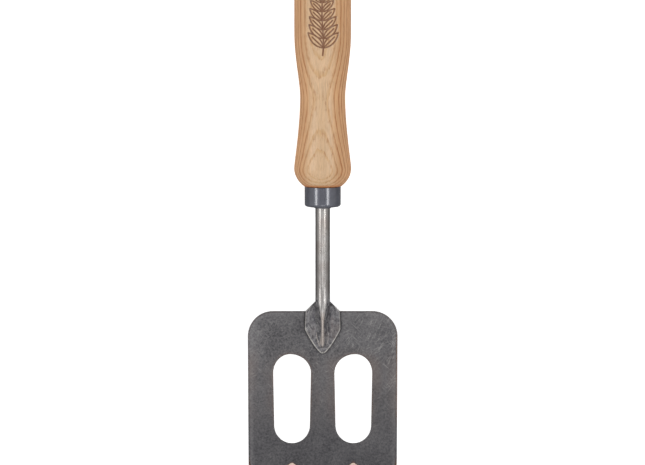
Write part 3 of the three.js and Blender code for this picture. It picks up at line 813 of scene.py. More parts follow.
class BladePlan:
    """The blade seen from above, with its top edge on y = 0."""

    def __init__(self, blade):
        self.blade = blade
        self.slot_centre = (blade.middle_leg + blade.slot_width) / 2
        self.notch_top = blade.shoulder_plate + blade.slot_length + blade.crossbar
        mouth_half = self.slot_centre - blade.tine_tip / 2
        depth = blade.length - self.notch_top - blade.notch_radius
        span = math.hypot(mouth_half, depth)
        half_angle = math.atan2(mouth_half, depth) - math.asin(blade.notch_radius / span)
        apex_y = -self.notch_top - blade.notch_radius + blade.notch_radius / math.sin(half_angle)
        self.apex = Vector((self.slot_centre, apex_y))
        self.arc_reach = blade.notch_radius / math.tan(half_angle)
        self.inner_tip = Vector((self.slot_centre - mouth_half, -blade.length))
        self.outer_tip = Vector((self.slot_centre + mouth_half, -blade.length))
        self.slant_tip = self.outer_tip + Vector((blade.tine_tip, 0))
        side_top = Vector((blade.half_width, -blade.corner_radius))
        side_low = Vector((blade.half_width - blade.side_taper, -blade.length))
        slant_root = side_low + Vector((0, blade.outer_taper))
        self.shoulder = crossing(self.slant_tip, slant_root, side_top, side_low)
        self.top_corner = crossing(side_top, side_low, Vector((0, 0)), Vector((1, 0)))
        self.ground_edges = self.find_ground_edges()

    def edge(self):
        """The outline of the whole blade, with the metal on its left."""
        blade = self.blade
        right = [
            (self.inner_tip, blade.tip_round),
            (self.apex, blade.notch_radius),
            (self.outer_tip, blade.tip_round),
            (self.slant_tip, blade.tip_round),
            (self.shoulder, blade.shoulder_round),
            (self.top_corner, blade.corner_radius),
        ]
        left = [(mirrored(point), radius) for point, radius in reversed(right)]
        return filleted(right + left)

    def slot(self, side):
        """One slot, with the metal on its left: its sides close in downwards, and its arch leans outwards."""
        blade = self.blade
        top_half = blade.slot_width / 2
        low_half = top_half - blade.slot_taper / 2
        apex = Vector((self.slot_centre + blade.slot_lean, -blade.shoulder_plate - top_half))
        low = Vector((self.slot_centre, -blade.shoulder_plate - blade.slot_length + low_half))
        quarter = math.pi / 2
        points = arc_points(apex, (top_half - blade.slot_lean, top_half), 0, quarter)
        points += arc_points(apex, (top_half + blade.slot_lean, top_half), quarter, 2 * quarter)[1:]
        points += arc_points(low, (low_half, low_half), 2 * quarter, 4 * quarter)
        if side < 0:
            return [mirrored(point) for point in points]
        return points[::-1]

    def find_ground_edges(self):
        """The straight edges that are ground, with the metal on their left, running out past the tips."""
        down = (self.inner_tip - self.apex).normalized()
        edges = [(self.inner_tip + down * self.blade.tine_tip, self.apex + down * self.arc_reach)]
        down = (self.outer_tip - self.apex).normalized()
        edges.append((self.apex + down * self.arc_reach, self.outer_tip + down * self.blade.tine_tip))
        up = self.shoulder - self.slant_tip
        edges.append((self.slant_tip - up, self.shoulder + up))
        return edges + [(mirrored(end), mirrored(start)) for start, end in edges]

    def ground_at(self, points):
        """How far points lie within a bevel: 0 at its upper line, and less than 0 on the flat front."""
        width = self.blade.ground_width
        return width - np.min([ground_distances(edge, points, width) for edge in self.ground_edges], axis=0)

    def front_at(self, points):
        """The height of the front above the back, before the plate is dished."""
        slope = (self.blade.thickness - self.blade.edge_land) / self.blade.ground_width
        return self.blade.thickness - slope * np.maximum(0, self.ground_at(points))


def ground_distances(edge, points, width):
    """Distances to a ground edge, which grow faster beyond its ends, where the bevel runs out to a point."""
    start, end = plain(edge)
    length = np.linalg.norm(end - start)
    along = (end - start) / length
    ahead = (points - start) @ along
    beyond = np.maximum(0, np.maximum(-ahead, ahead - length))
    aside = (points - start) @ (-along[1], along[0])
    return np.hypot(beyond, aside * (1 + BEVEL_POINT * beyond / width))


def distances_to(edge, points):
    """Distances of points to a straight edge, in plan."""
    start, end = plain(edge)
    along = end - start
    share_along = np.clip((points - start) @ along / (along @ along), 0, 1)
    return np.linalg.norm(points - start - share_along[:, None] * along, axis=1)


def gaps_to(others, points):
    """Each point's distance to the nearest of some others, in plan."""
    tree = kdtree.KDTree(len(others))
    for i, other in enumerate(others):
        tree.insert((*other, 0), i)
    tree.balance()
    return np.array([tree.find((*point, 0))[2] for point in points])


def inside(loops, points):
    """Which points lie within the loops, by the even and odd rule."""
    odd = np.zeros(len(points), bool)
    for loop in loops:
        for (x0, y0), (x1, y1) in zip(loop, np.roll(loop, -1, axis=0)):
            if y0 != y1:
                crosses = (points[:, 1] < y0) != (points[:, 1] < y1)
                odd ^= crosses & (points[:, 0] < x0 + (points[:, 1] - y0) / (y1 - y0) * (x1 - x0))
    return odd


def left_of(start, end):
    """A unit vector to the left of the way from start to end."""
    along = (end - start).normalized()
    return Vector((-along.y, along.x))


def turned_left(directions):
    """Unit vectors to the left of some directions in plan."""
    left = np.stack([-directions[:, 1], directions[:, 0]], axis=1)
    return left / np.linalg.norm(left, axis=1)[:, None]


def crease_points(edges, width):
    """Points along the upper lines of the bevels."""
    found = []
    for start, end in edges:
        across = left_of(start, end) * width
        steps = math.ceil((end - start).length / EDGE_STEP)
        found += [start.lerp(end, step / steps) + across for step in range(steps + 1)]
        beyond = (end - start).normalized() * width
        for angle in np.arange(-1, 1, CREASE_STEP) * math.pi / 2:
            aside = across * math.sin(angle) / (1 + BEVEL_POINT * math.cos(angle))
            found += [start - beyond * math.cos(angle) + aside, end + beyond * math.cos(angle) + aside]
    points = plain(found)
    nearest = np.min([ground_distances(edge, points, width) for edge in edges], axis=0)
    return points[np.abs(nearest - width) < ON_LINE * width]


def ridge_points(edges, width, low, high):
    """Points along the ridges where two bevels meet on a tine, between two heights in plan."""
    found = []
    steps = math.ceil((high - low) / EDGE_STEP)
    heights = [low + (high - low) * step / steps for step in range(steps + 1)]
    for i, one in enumerate(edges):
        for two in edges[i + 1:]:
            across = left_of(*one)
            other = left_of(*two)
            fall = across - other
            level = across.dot(one[0]) - other.dot(two[0])
            if abs(fall.x) < abs(fall.y):
                continue
            line = np.array([((level - fall.y * y) / fall.x, y) for y in heights])
            first = distances_to(one, line)
            even = np.abs(first - distances_to(two, line)) < ON_LINE * width
            found.append(line[even & (first < width)])
    return np.concatenate(found)


def seam_points(leaf):
    """Points along the edge of the leaf and beside it, on both sides of the blade's middle."""
    outward = turned_left(np.gradient(leaf, axis=0))
    half = np.concatenate([leaf + outward * offset for offset in SEAM_OFFSETS])
    half = half[half[:, 0] > 0]
    return np.concatenate([half, half * (-1, 1)])


def even_net(outline):
    """A net of even triangles over the box round an outline."""
    low = outline.min(axis=0)
    high = outline.max(axis=0)
    columns = np.arange(low[0], high[0], PLATE_STEP)
    lines = np.arange(low[1], high[1], PLATE_STEP * math.sqrt(3) / 2)
    return np.array([(x + (k % 2) * PLATE_STEP / 2, y) for k, y in enumerate(lines) for x in columns])


def plate_points(plan, outline, loops, leaf):
    """Points between the loops: along the bevels' creases, along the seam round the leaf, and in a net."""
    blade = plan.blade
    crease = np.concatenate([
        crease_points(plan.ground_edges, blade.ground_width),
        ridge_points(plan.ground_edges, blade.ground_width, -blade.length, -plan.notch_top),
    ])
    found = (crease, seam_points(leaf[::SEAM_STRIDE]), even_net(outline))
    crease, seam, net = (points[inside(loops, points)] for points in found)
    ring = np.concatenate(loops)
    net = net[gaps_to(np.concatenate([ring, crease, seam]), net) > PLATE_GAP]
    crease, seam = (points[gaps_to(ring, points) > EDGE_GAP] for points in (crease, seam))
    return crease, seam, net


def rounded_edge(plan, loop):
    """Rows of points round an edge, from the back to the front, and how far in from the edge each lies."""
    into = turned_left(np.roll(loop, -1, axis=0) - np.roll(loop, 1, axis=0))
    rounding = np.minimum(plan.blade.edge_round, MOST_ROUND * plan.front_at(loop))
    steps = [math.pi / 2 * row / ROUND_ROWS for row in range(ROUND_ROWS + 1)]
    rows = []
    insets = []
    for angle, on_front in [(step, False) for step in reversed(steps)] + [(step, True) for step in steps]:
        inset = rounding * (1 - math.cos(angle))
        height = rounding * (1 - math.sin(angle))
        points = loop + into * inset[:, None]
        if on_front:
            height = plan.front_at(points) - height
        rows.append(np.column_stack([points, height]))
        insets.append(inset)
    return rows, insets


def filled(loops, extra):
    """Triangles between loops and through extra points, numbered from the first loop's points on."""
    given = np.concatenate([*loops, extra])
    sides = []
    offset = 0
    for loop in loops:
        sides += [(offset + i, offset + (i + 1) % len(loop)) for i in range(len(loop))]
        offset += len(loop)
    points = [Vector(point) for point in given]
    corners, _, triangles, sources, _, _ = delaunay_2d_cdt(points, sides, [], 0, SAME_POINT)
    triangles = np.array(triangles)
    triangles = triangles[inside(loops, plain(corners)[triangles].mean(axis=1))]
    return np.array([ids[0] for ids in sources])[triangles]


def dish(blade, x):
    """How far the plate rises on both sides of its flat seat."""
    out = np.maximum(0, np.abs(x) - blade.seat_half) / (blade.half_width - blade.seat_half)
    return blade.dish_rise * out ** 3


def blade_mesh(blade, leaf):
    """The plate as one skin: rounded edges round the outline and both slots, and a fine net between them.

    The net is finer along the seam round the leaf, which is half of the foot's outline.
    """
    plan = BladePlan(blade)
    loops = [spaced(outline, EDGE_STEP) for outline in (plan.edge(), plan.slot(-1), plan.slot(1))]
    places = []
    rims = []
    faces = []
    inner_loops = []
    back_of = []
    front_of = []
    made = 0
    for loop in loops:
        rows, insets = rounded_edge(plan, loop)
        faces += bands(made, len(rows), len(loop))
        inner_loops.append(rows[-1][:, :2])
        back_of += range(made, made + len(loop))
        made += len(rows) * len(loop)
        front_of += range(made - len(loop), made)
        places += rows
        rims += insets

    crease, seam, net = plate_points(plan, loops[0], inner_loops, leaf)
    extra = np.concatenate([crease, seam, net])
    back_of += range(made, made + len(extra))
    made += len(extra)
    front_of += range(made, made + len(extra))
    on_crease = set(range(made, made + len(crease)))
    places.append(np.column_stack([extra, np.zeros(len(extra))]))
    places.append(np.column_stack([extra, plan.front_at(extra)]))
    rims += [gaps_to(np.concatenate(inner_loops), extra) + blade.edge_round] * 2
    for one, two, three in filled(inner_loops, extra):
        faces.append((front_of[one], front_of[two], front_of[three]))
        faces.append((back_of[three], back_of[two], back_of[one]))

    points = np.concatenate(places)
    rim = np.concatenate(rims)
    ground = plan.ground_at(points[:, :2])
    halved = np.column_stack([np.abs(points[:, 0]), points[:, 1]])
    seam_gap = np.min([distances_to(side, halved) for side in zip(leaf, leaf[1:])], axis=0)
    front = points[:, 2] > FRONT_FROM * blade.edge_land
    waves = np.array([noise.noise(Vector((x, y, 0)) / WAVE_LENGTH) for x, y, _ in points])
    level = np.clip(rim / WAVE_MARGIN, 0, 1) * (ground < 0) * front
    points[:, 2] += dish(blade, points[:, 0]) - blade.waviness * level * (0.5 + 0.5 * waves)
    points[:, 1] += TOP_EDGE

    mesh = bpy.data.meshes.new("blade_plate")
    mesh.from_pydata(points.tolist(), [], faces)
    store(mesh, "rim", rim)
    store(mesh, "ground", np.where(front, ground, -OFF_THE_FRONT))
    store(mesh, "seam", np.where(front, seam_gap, OFF_THE_FRONT))
    mesh.shade_smooth()
    for edge in mesh.edges:
        edge.use_edge_sharp = on_crease.issuperset(edge.vertices)
    face_outwards(mesh)
    return mesh


# Shank

BAR_SIDES = 192
NECK_ROWS = 90
LEAF_ROWS = 60
NECK_SIDE = math.radians(86)
# Power with which the rib's crest falls towards its end, and the least share of its radius there
RIB_FALL = 1.5
LEAST_POINT = 0.2
# Share of the rim's round that the underside of the leaf gets
UNDERSIDE_ROUND = 0.4
# Shares of the crest's radius up to which it is bare, and over which that fades
CREST_BARE = 0.4
CREST_FADE = 0.3
# How dense the scale is on the neck, and how bare the steel is beside the crest
SCALE_ON_NECK = 0.7
RIB_SIDE_BARE = 0.6
LEFT_LINE_BARE = 0.75
RIGHT_LINE_BARE = 0.5
LINE_GROWTH = 3
LEFT_WEAR = 0.45
FAR_FROM_RIM = 0.1
TINY = 1e-9


def bezier(points, t):
    """A point of the curve that a row of control points draws."""
    while len(points) > 1:
        points = [a.lerp(b, t) for a, b in zip(points, points[1:])]
    return points[0]


def clamp(value):
    return min(1, max(0, value))


def smooth(value):
    value = clamp(value)
    return value * value * (3 - 2 * value)


def bar_ring(half, squareness):
    """One ring round a bar, which is round at a squareness of 0 and square at 1."""
    ring = []
    for i in range(BAR_SIDES):
        angle = 2 * math.pi * i / BAR_SIDES
        x = math.cos(angle)
        rise = math.sin(angle)
        square = 1 / max(abs(x), abs(rise))
        radius = half * (1 + (square - 1) * squareness)
        ring.append((radius * x, radius * rise))
    return ring


def tang_rings(shank, ferrule, grip):
    """The tang as rings, from its square tip to the round bar in the ferrule's floor."""
    rod = shank.rod_diameter / 2
    shoulder = ferrule.floor + ferrule.clearance + shank.tang_round
    stations = [
        (shoulder + shank.tang_length, shank.tang_tip_size / 2, 1),
        (shoulder + shank.tang_shoulder, shank.tang_size / 2, 1),
        (shoulder, rod, 0),
        (ferrule.floor, rod, 0),
    ]
    return [
        [grip @ Vector((x, along, z)) for x, z in bar_ring(half, squareness)]
        for along, half, squareness in stations
    ]


def neck_rings(shank, grip):
    """The bent neck as rings, with how bare each point's steel is."""
    rod = shank.rod_diameter / 2
    mouth = grip.translation
    axis = grip.to_3x3() @ Vector((0, 1, 0))
    foot = Vector((0, TOP_EDGE + shank.leaf_above_edge, FOOT_BASE + rod))
    control = [
        mouth,
        mouth - axis * shank.bend_at_ferrule,
        foot + Vector((0, shank.bend_at_foot, 0)),
        foot,
    ]
    across = Vector((1, 0, 0))
    rings = []
    bares = []
    for row in range(NECK_ROWS):
        t = row / NECK_ROWS
        ahead = bezier(control, t + 0.5 / NECK_ROWS) - bezier(control, t - 0.5 / NECK_ROWS)
        upright = ahead.normalized().cross(across)
        centre = bezier(control, t)
        rings.append([centre + across * x + upright * z for x, z in bar_ring(rod, 0)])
        scaled = SCALE_ON_NECK * smooth(1 - (centre - foot).length / shank.scale_reach)
        for x, _ in bar_ring(1, 0):
            bares.append(1 + (crest_bareness(abs(x)) - 1) * scaled)
    return rings, bares


def leaf_outline(shank):
    """Half the foot's plan, from the neck down to the leaf's tip, with the blade's top edge on y = 0."""
    rod = shank.rod_diameter / 2
    half = shank.leaf_width / 2
    neck_half = shank.leaf_neck_width / 2
    shoulder_y = shank.leaf_above_edge - (neck_half - rod)
    taper = shank.leaf_below_edge - shank.leaf_widest_at
    shoulder = Vector((neck_half, shoulder_y))
    widest = Vector((half, -shank.leaf_widest_at))
    tip = Vector((0, -shank.leaf_below_edge))
    stretches = [
        [Vector((rod, shank.leaf_above_edge)), shoulder],
        [shoulder, Vector((half, (shoulder_y - shank.leaf_widest_at) / 2)), widest],
        [
            widest,
            widest - Vector((0, taper * shank.side_fullness)),
            Vector((half * shank.tip_fullness, -shank.leaf_below_edge)),
            tip,
        ],
    ]
    outline = [bezier(stretch, row / LEAF_ROWS) for stretch in stretches for row in range(LEAF_ROWS)]
    flat_half = shank.leaf_tip_flat / 2
    for row in range(LEAF_ROWS):
        point = outline[row - LEAF_ROWS]
        point.x = math.hypot(point.x, flat_half * (row / LEAF_ROWS) ** 2)
    return [*outline, tip + Vector((flat_half, 0)), tip]


def smooth_max(a, b, blend):
    """The higher of two heights, with a fillet where they cross."""
    near = max(0, blend - abs(a - b)) / blend
    return max(a, b) + near * near * blend / 4


def crest_bareness(away):
    """How bare the steel is at a distance from the crest, as a share of the crest's radius."""
    return 1 - smooth((away - CREST_BARE) / CREST_FADE)


def ridge_drop(away, radius, slope):
    """How far a rounded crest, with straight sides below it, has dropped at a distance from its middle."""
    turns_at = radius * math.sin(slope)
    if away < turns_at:
        return radius - math.sqrt(radius * radius - away * away)
    return radius * (1 - math.cos(slope)) + (away - turns_at) * math.tan(slope)


def rib_at(shank, y):
    """The height and radius of the rib's crest and the slope of its sides, at a place along the foot."""
    rod = shank.rod_diameter / 2
    below_neck = shank.leaf_above_edge - y
    above_end = y + shank.rib_length
    along = min(1, below_neck / (shank.leaf_above_edge + shank.rib_length))
    settle = smooth(1 - below_neck / shank.crest_run)
    low = smooth(2 * along - 1)
    crest = shank.rib_crest + (shank.rib_end_crest - shank.rib_crest) * low
    pointed = min(1, max(LEAST_POINT, above_end / shank.rib_point))
    radius = crest * pointed + (rod - crest) * settle
    side = shank.rib_side + (shank.rib_end_side - shank.rib_side) * low
    slope = side + (NECK_SIDE - side) * settle
    end_top = shank.leaf_edge + shank.rib_end
    top = shank.rod_diameter + (end_top - shank.rod_diameter) * along ** RIB_FALL
    ended = 1 - smooth(above_end / (2 * shank.rib_end))
    top += (shank.leaf_edge - shank.rib_fillet - top) * ended
    return top, radius, slope


def leaf_bareness(shank, x, y, spread, radius, rib_half):
    """How bare the foot's steel is: along the rib's crest, down its sides and along the lines at its foot.

    The left side is worn a little further than the right one.
    """
    away = abs(x)
    rib_share = clamp((y + shank.rib_length) / shank.rib_point)
    below_widest = -y - shank.leaf_widest_at
    cover = SCALE_ON_NECK + (1 - SCALE_ON_NECK) * spread
    wear = LEFT_WEAR * smooth((below_widest - shank.rib_point) / shank.rib_point) if x < 0 else 0
    from_crest = away * (1 - wear) / max(TINY, radius * rib_share)
    on_crest = 1 - (1 - crest_bareness(from_crest)) * cover
    on_side = RIB_SIDE_BARE * spread * rib_share * (1 - smooth(away / shank.rub_reach))
    bright = LEFT_LINE_BARE if x < 0 else RIGHT_LINE_BARE
    lined = min(1, LINE_GROWTH * rib_share) * smooth(below_widest / shank.rib_point)
    on_line = bright * lined * (1 - smooth(abs(away - rib_half) / shank.foot_line))
    return max(on_crest, on_side, on_line)


def leaf_rings(shank):
    """The foot as rings, with each point's distance to the rim and how bare its steel is."""
    rod = shank.rod_diameter / 2
    outline = leaf_outline(shank)
    sides = plain(outline)
    rounding = shank.rim_round
    circle = bar_ring(1, 0)
    rings = []
    rims = []
    bares = []
    for half, y in outline[:-1]:
        spread = smooth((shank.leaf_above_edge - y) / shank.shoulder_run)
        thick = rod + (shank.leaf_edge - rod) * spread
        edge = rod + (shank.leaf_edge / 2 - rod) * spread
        top, radius, slope = rib_at(shank, y)
        straight = max(0, top - radius * (1 - math.cos(slope)) - thick)
        rib_half = radius * math.sin(slope) + straight / math.tan(slope)
        flat = np.array([(abs(half * cos), y) for cos, _ in circle])
        to_rim = np.min([distances_to(side, flat) for side in zip(sides, sides[1:])], axis=0)
        ring = []
        for i, (cos, sin) in enumerate(circle):
            x = half * cos
            between = clamp((abs(x) - rib_half) / max(half - rib_half, TINY))
            short = max(0, rounding - to_rim[i])
            drop = spread * (rounding - math.sqrt(rounding ** 2 - short ** 2))
            flange = thick - drop - spread * shank.hollow * math.sin(math.pi * between) ** 2
            crest = top - ridge_drop(abs(x), radius, slope)
            if i % (BAR_SIDES // 2) == 0:
                height = edge
            elif sin > 0:
                height = smooth_max(flange, crest, max(TINY, shank.rib_fillet * spread))
            else:
                height = rod * (1 + sin) * (1 - spread) + UNDERSIDE_ROUND * drop
            ring.append(Vector((x, TOP_EDGE + y, FOOT_BASE + height)))
            rims.append(to_rim[i] + (1 - spread) * rod)
            bares.append(leaf_bareness(shank, x, y, spread, radius, rib_half) if sin > 0 else 0)
        rings.append(ring)
    return rings, rims, bares


def shank_mesh(shank, ferrule, grip):
    """One skin from the tip of the tang, down the bent neck, to the tip of the leaf."""
    tang = tang_rings(shank, ferrule, grip)
    neck, neck_bares = neck_rings(shank, grip)
    foot, rims, foot_bares = leaf_rings(shank)
    rings = tang + neck + foot
    points = [point for ring in rings for point in ring]
    faces = bands(0, len(rings), BAR_SIDES)
    faces.append(tuple(range(BAR_SIDES)))
    faces.append(tuple(range(len(points) - BAR_SIDES, len(points))))
    mesh = bpy.data.meshes.new("forged_shank")
    mesh.from_pydata(points, [], faces)
    store(mesh, "rim", [FAR_FROM_RIM] * ((len(tang) + len(neck)) * BAR_SIDES) + rims)
    store(mesh, "bare", [1] * (len(tang) * BAR_SIDES) + neck_bares + foot_bares)
    mesh.shade_smooth()
    face_outwards(mesh)
    return mesh


# Turned pieces, as geometry nodes

HANDLE_GATHER = 0.55
FOOT_ROWS = 24
SWELL_ROWS = 56
WAIST_ROWS = 120
PALM_ROWS = 100
BUTT_ROWS = 40
STEPS_PER_ROW = 4
SAME_PLACE = 1e-6
FERRULE_SEGMENTS = 160
LIP_ROWS = 6
COLLAR_ROWS = 12
FLOOR_ROWS = 6
CORNER_ROWS = 12
WALL_ROWS = 20
QUARTER_ROUND = 0.5523
STROKE_STEPS = 16
STEM_SWAY = 0.35
STEM_BENDS = (0.35, 0.65)
LEAVES_FROM = 0.14
LEAVES_TO = 0.94
LEAF_BULGE = 0.66
LEAF_FULLEST = (0.25, 0.7)
VEIN_LENGTH = 0.72
LAST_LEAF = 0.8


def new_tree(name, inputs):
    """A geometry tree with named inputs and one geometry output, and its input sockets by name."""
    tree = bpy.data.node_groups.new(name, "GeometryNodeTree")
    for label, kind in inputs.items():
        tree.interface.new_socket(label, in_out="INPUT", socket_type=kind)
    tree.interface.new_socket("Geometry", in_out="OUTPUT", socket_type="NodeSocketGeometry")
    nodes = Nodes(tree)
    given = nodes.add("NodeGroupInput").outputs
    return nodes, {label: given[label] for label in inputs}


def end_tree(nodes, geometry, material=None):
    """Closes a tree with realized instances and, on a finished piece, its material."""
    whole = nodes.add("GeometryNodeRealizeInstances", {"Geometry": geometry}).outputs[0]
    if material:
        whole = nodes.add("GeometryNodeSetMaterial", {"Geometry": whole, "Material": material}).outputs[0]
    nodes.add("NodeGroupOutput", {"Geometry": whole})
    return nodes.tree


def tree_values(group):
    """A group's sizes by the names that the trees give their inputs."""
    return {key.replace("_", " ").title(): getattr(group, key) for key in group.__annotations__}


def made_by(name, trees):
    """The plain mesh that a row of trees makes, each with the values of its named inputs."""
    holder = new_piece(name, bpy.data.meshes.new(name))
    for tree, values in trees:
        modifier = holder.modifiers.new(tree.name, "NODES")
        modifier.node_group = tree
        for item in tree.interface.items_tree:
            if item.in_out == "INPUT" and item.name in values:
                modifier[item.identifier] = values[item.name]
    depsgraph = bpy.context.evaluated_depsgraph_get()
    evaluated = holder.evaluated_get(depsgraph)
    mesh = bpy.data.meshes.new_from_object(evaluated, preserve_all_data_layers=True, depsgraph=depsgraph)
    bpy.data.objects.remove(holder)
    return mesh


def turning_tree():
    """Turns one stretch of a profile, radius along X, about Y. Facets gather on the side towards +Z."""
    nodes, given = new_tree("turn_stretch", {
        "Profile": "NodeSocketGeometry",
        "Rows": "NodeSocketInt",
        "Segments": "NodeSocketInt",
        "Gather": "NodeSocketFloat",
    })
    net = nodes.add("GeometryNodeMeshGrid", {
        "Size X": 1.0,
        "Size Y": 1.0,
        "Vertices X": given["Rows"],
        "Vertices Y": nodes.math("ADD", given["Segments"], 1),
    })
    x, y, _ = nodes.parts(nodes.add("GeometryNodeInputPosition").outputs[0])
    way = nodes.math("MULTIPLY", nodes.math("ADD", y, 0.5), 2 * math.pi)
    angle = nodes.less(way, nodes.math("MULTIPLY", nodes.math("SINE", way), given["Gather"]))
    sample = {"Curves": given["Profile"], "Factor": nodes.math("ADD", x, 0.5)}
    on_profile = nodes.add("GeometryNodeSampleCurve", sample, mode="FACTOR", use_all_curves=True)
    radius, along, _ = nodes.parts(on_profile.outputs["Position"])
    place = nodes.point(
        nodes.math("MULTIPLY", radius, nodes.math("MULTIPLY", nodes.math("SINE", angle), -1.0)),
        along,
        nodes.math("MULTIPLY", radius, nodes.math("COSINE", angle)),
    )
    turned = nodes.add("GeometryNodeSetPosition", {"Geometry": net.outputs[0], "Position": place})
    return end_tree(nodes, turned.outputs[0])


class Lathe:
    """Collects the stretches of a turned piece inside a geometry tree."""

    def __init__(self, nodes, turning, segments, gather):
        self.nodes = nodes
        self.turning = turning
        self.segments = segments
        self.gather = gather
        self.surfaces = []

    def cut(self, profile, rows):
        inputs = {"Profile": profile, "Rows": rows, "Segments": self.segments, "Gather": self.gather}
        turned = self.nodes.add("GeometryNodeGroup", inputs, node_tree=self.turning)
        self.surfaces.append(turned.outputs[0])

    def line(self, start, end, rows=2):
        self.cut(self.nodes.line(start, end), rows)

    def curve(self, start, start_handle, end_handle, end, rows):
        self.cut(self.nodes.curve(STEPS_PER_ROW * rows, start, start_handle, end_handle, end), rows)

    def whole(self):
        inputs = {"Geometry": self.nodes.joined(*self.surfaces), "Distance": SAME_PLACE}
        closed = self.nodes.add("GeometryNodeMergeByDistance", inputs)
        return self.nodes.add("GeometryNodeSetShadeSmooth", {"Geometry": closed.outputs[0]}).outputs[0]


def handle_tree(turning, material):
    """The handle's outside, its spigot and its bore, as one turned skin."""
    stations = ("Foot", "Swell", "Waist", "Palm")
    names = [f"{station} {measure}" for station in stations for measure in ("Radius", "At")]
    names += ["Butt At", "End At", "Spigot Radius", "Spigot At", "Bore Radius", "Bore Tip Radius", "Bore At"]
    names += ["Foot Flare", "Foot Rise", "Swell Hold Below", "Swell Hold Above", "Waist Hold Below"]
    names += ["Waist Hold Above", "Palm Hold", "Butt Fullness"]
    nodes, given = new_tree("turned_handle", {
        **{name: "NodeSocketFloat" for name in names},
        "Segments": "NodeSocketInt",
    })
    lathe = Lathe(nodes, turning, given["Segments"], HANDLE_GATHER)

    def sweep(low, high, hold_low, hold_high, rows):
        low_radius, low_at = given[f"{low} Radius"], given[f"{low} At"]
        high_radius, high_at = given[f"{high} Radius"], given[f"{high} At"]
        lathe.curve(
            nodes.point(low_radius, low_at),
            nodes.point(low_radius, nodes.between(low_at, high_at, given[hold_low])),
            nodes.point(high_radius, nodes.between(high_at, low_at, given[hold_high])),
            nodes.point(high_radius, high_at),
            rows,
        )

    foot_radius, foot_at = given["Foot Radius"], given["Foot At"]
    swell_radius, swell_at = given["Swell Radius"], given["Swell At"]
    foot = nodes.point(foot_radius, foot_at)
    inside_line = [
        nodes.point(0.0, given["Bore At"]),
        nodes.point(given["Bore Tip Radius"], given["Bore At"]),
        nodes.point(given["Bore Radius"], given["Spigot At"]),
        nodes.point(given["Spigot Radius"], given["Spigot At"]),
        nodes.point(given["Spigot Radius"], foot_at),
        foot,
    ]
    for start, end in zip(inside_line, inside_line[1:]):
        lathe.line(start, end)
    lathe.curve(
        foot,
        nodes.point(
            nodes.between(foot_radius, swell_radius, given["Foot Flare"]),
            nodes.between(foot_at, swell_at, given["Foot Rise"]),
        ),
        nodes.point(swell_radius, nodes.between(swell_at, foot_at, given["Swell Hold Below"])),
        nodes.point(swell_radius, swell_at),
        FOOT_ROWS,
    )
    sweep("Swell", "Waist", "Swell Hold Above", "Waist Hold Below", SWELL_ROWS)
    sweep("Waist", "Palm", "Waist Hold Above", "Palm Hold", WAIST_ROWS)
    palm_radius = given["Palm Radius"]
    butt_at, end_at = given["Butt At"], given["End At"]
    butt = nodes.point(palm_radius, butt_at)
    lathe.line(nodes.point(palm_radius, given["Palm At"]), butt, PALM_ROWS)
    lathe.curve(
        butt,
        nodes.point(palm_radius, nodes.between(butt_at, end_at, given["Butt Fullness"])),
        nodes.point(nodes.math("MULTIPLY", palm_radius, given["Butt Fullness"]), end_at),
        nodes.point(0.0, end_at),
        BUTT_ROWS,
    )
    return end_tree(nodes, lathe.whole(), material)


def handle_values(handle, ferrule, shank):
    """The handle tree's inputs, worked out from the sizes of the handle and of what fits into it."""
    foot_at = ferrule.length + ferrule.clearance
    swell_at = foot_at + handle.swell_height
    waist_at = swell_at + handle.swell_to_waist
    palm_at = waist_at + handle.waist_to_palm
    butt_at = palm_at + handle.palm_length
    spigot_at = ferrule.floor + ferrule.clearance
    tang_end = spigot_at + shank.tang_round + shank.tang_length
    return {
        **tree_values(handle),
        "Foot Radius": handle.foot_diameter / 2,
        "Foot At": foot_at,
        "Swell Radius": handle.swell_diameter / 2 - handle.sanding,
        "Swell At": swell_at,
        "Waist Radius": handle.waist_diameter / 2,
        "Waist At": waist_at,
        "Palm Radius": handle.palm_diameter / 2 - handle.sanding,
        "Palm At": palm_at,
        "Butt At": butt_at,
        "End At": butt_at + handle.butt_length - handle.sanding,
        "Spigot Radius": ferrule.diameter / 2 - ferrule.wall - ferrule.clearance,
        "Spigot At": spigot_at,
        "Bore Radius": shank.rod_diameter / 2 + ferrule.clearance,
        "Bore Tip Radius": shank.tang_tip_size / math.sqrt(2) + ferrule.clearance,
        "Bore At": tang_end + ferrule.clearance,
    }


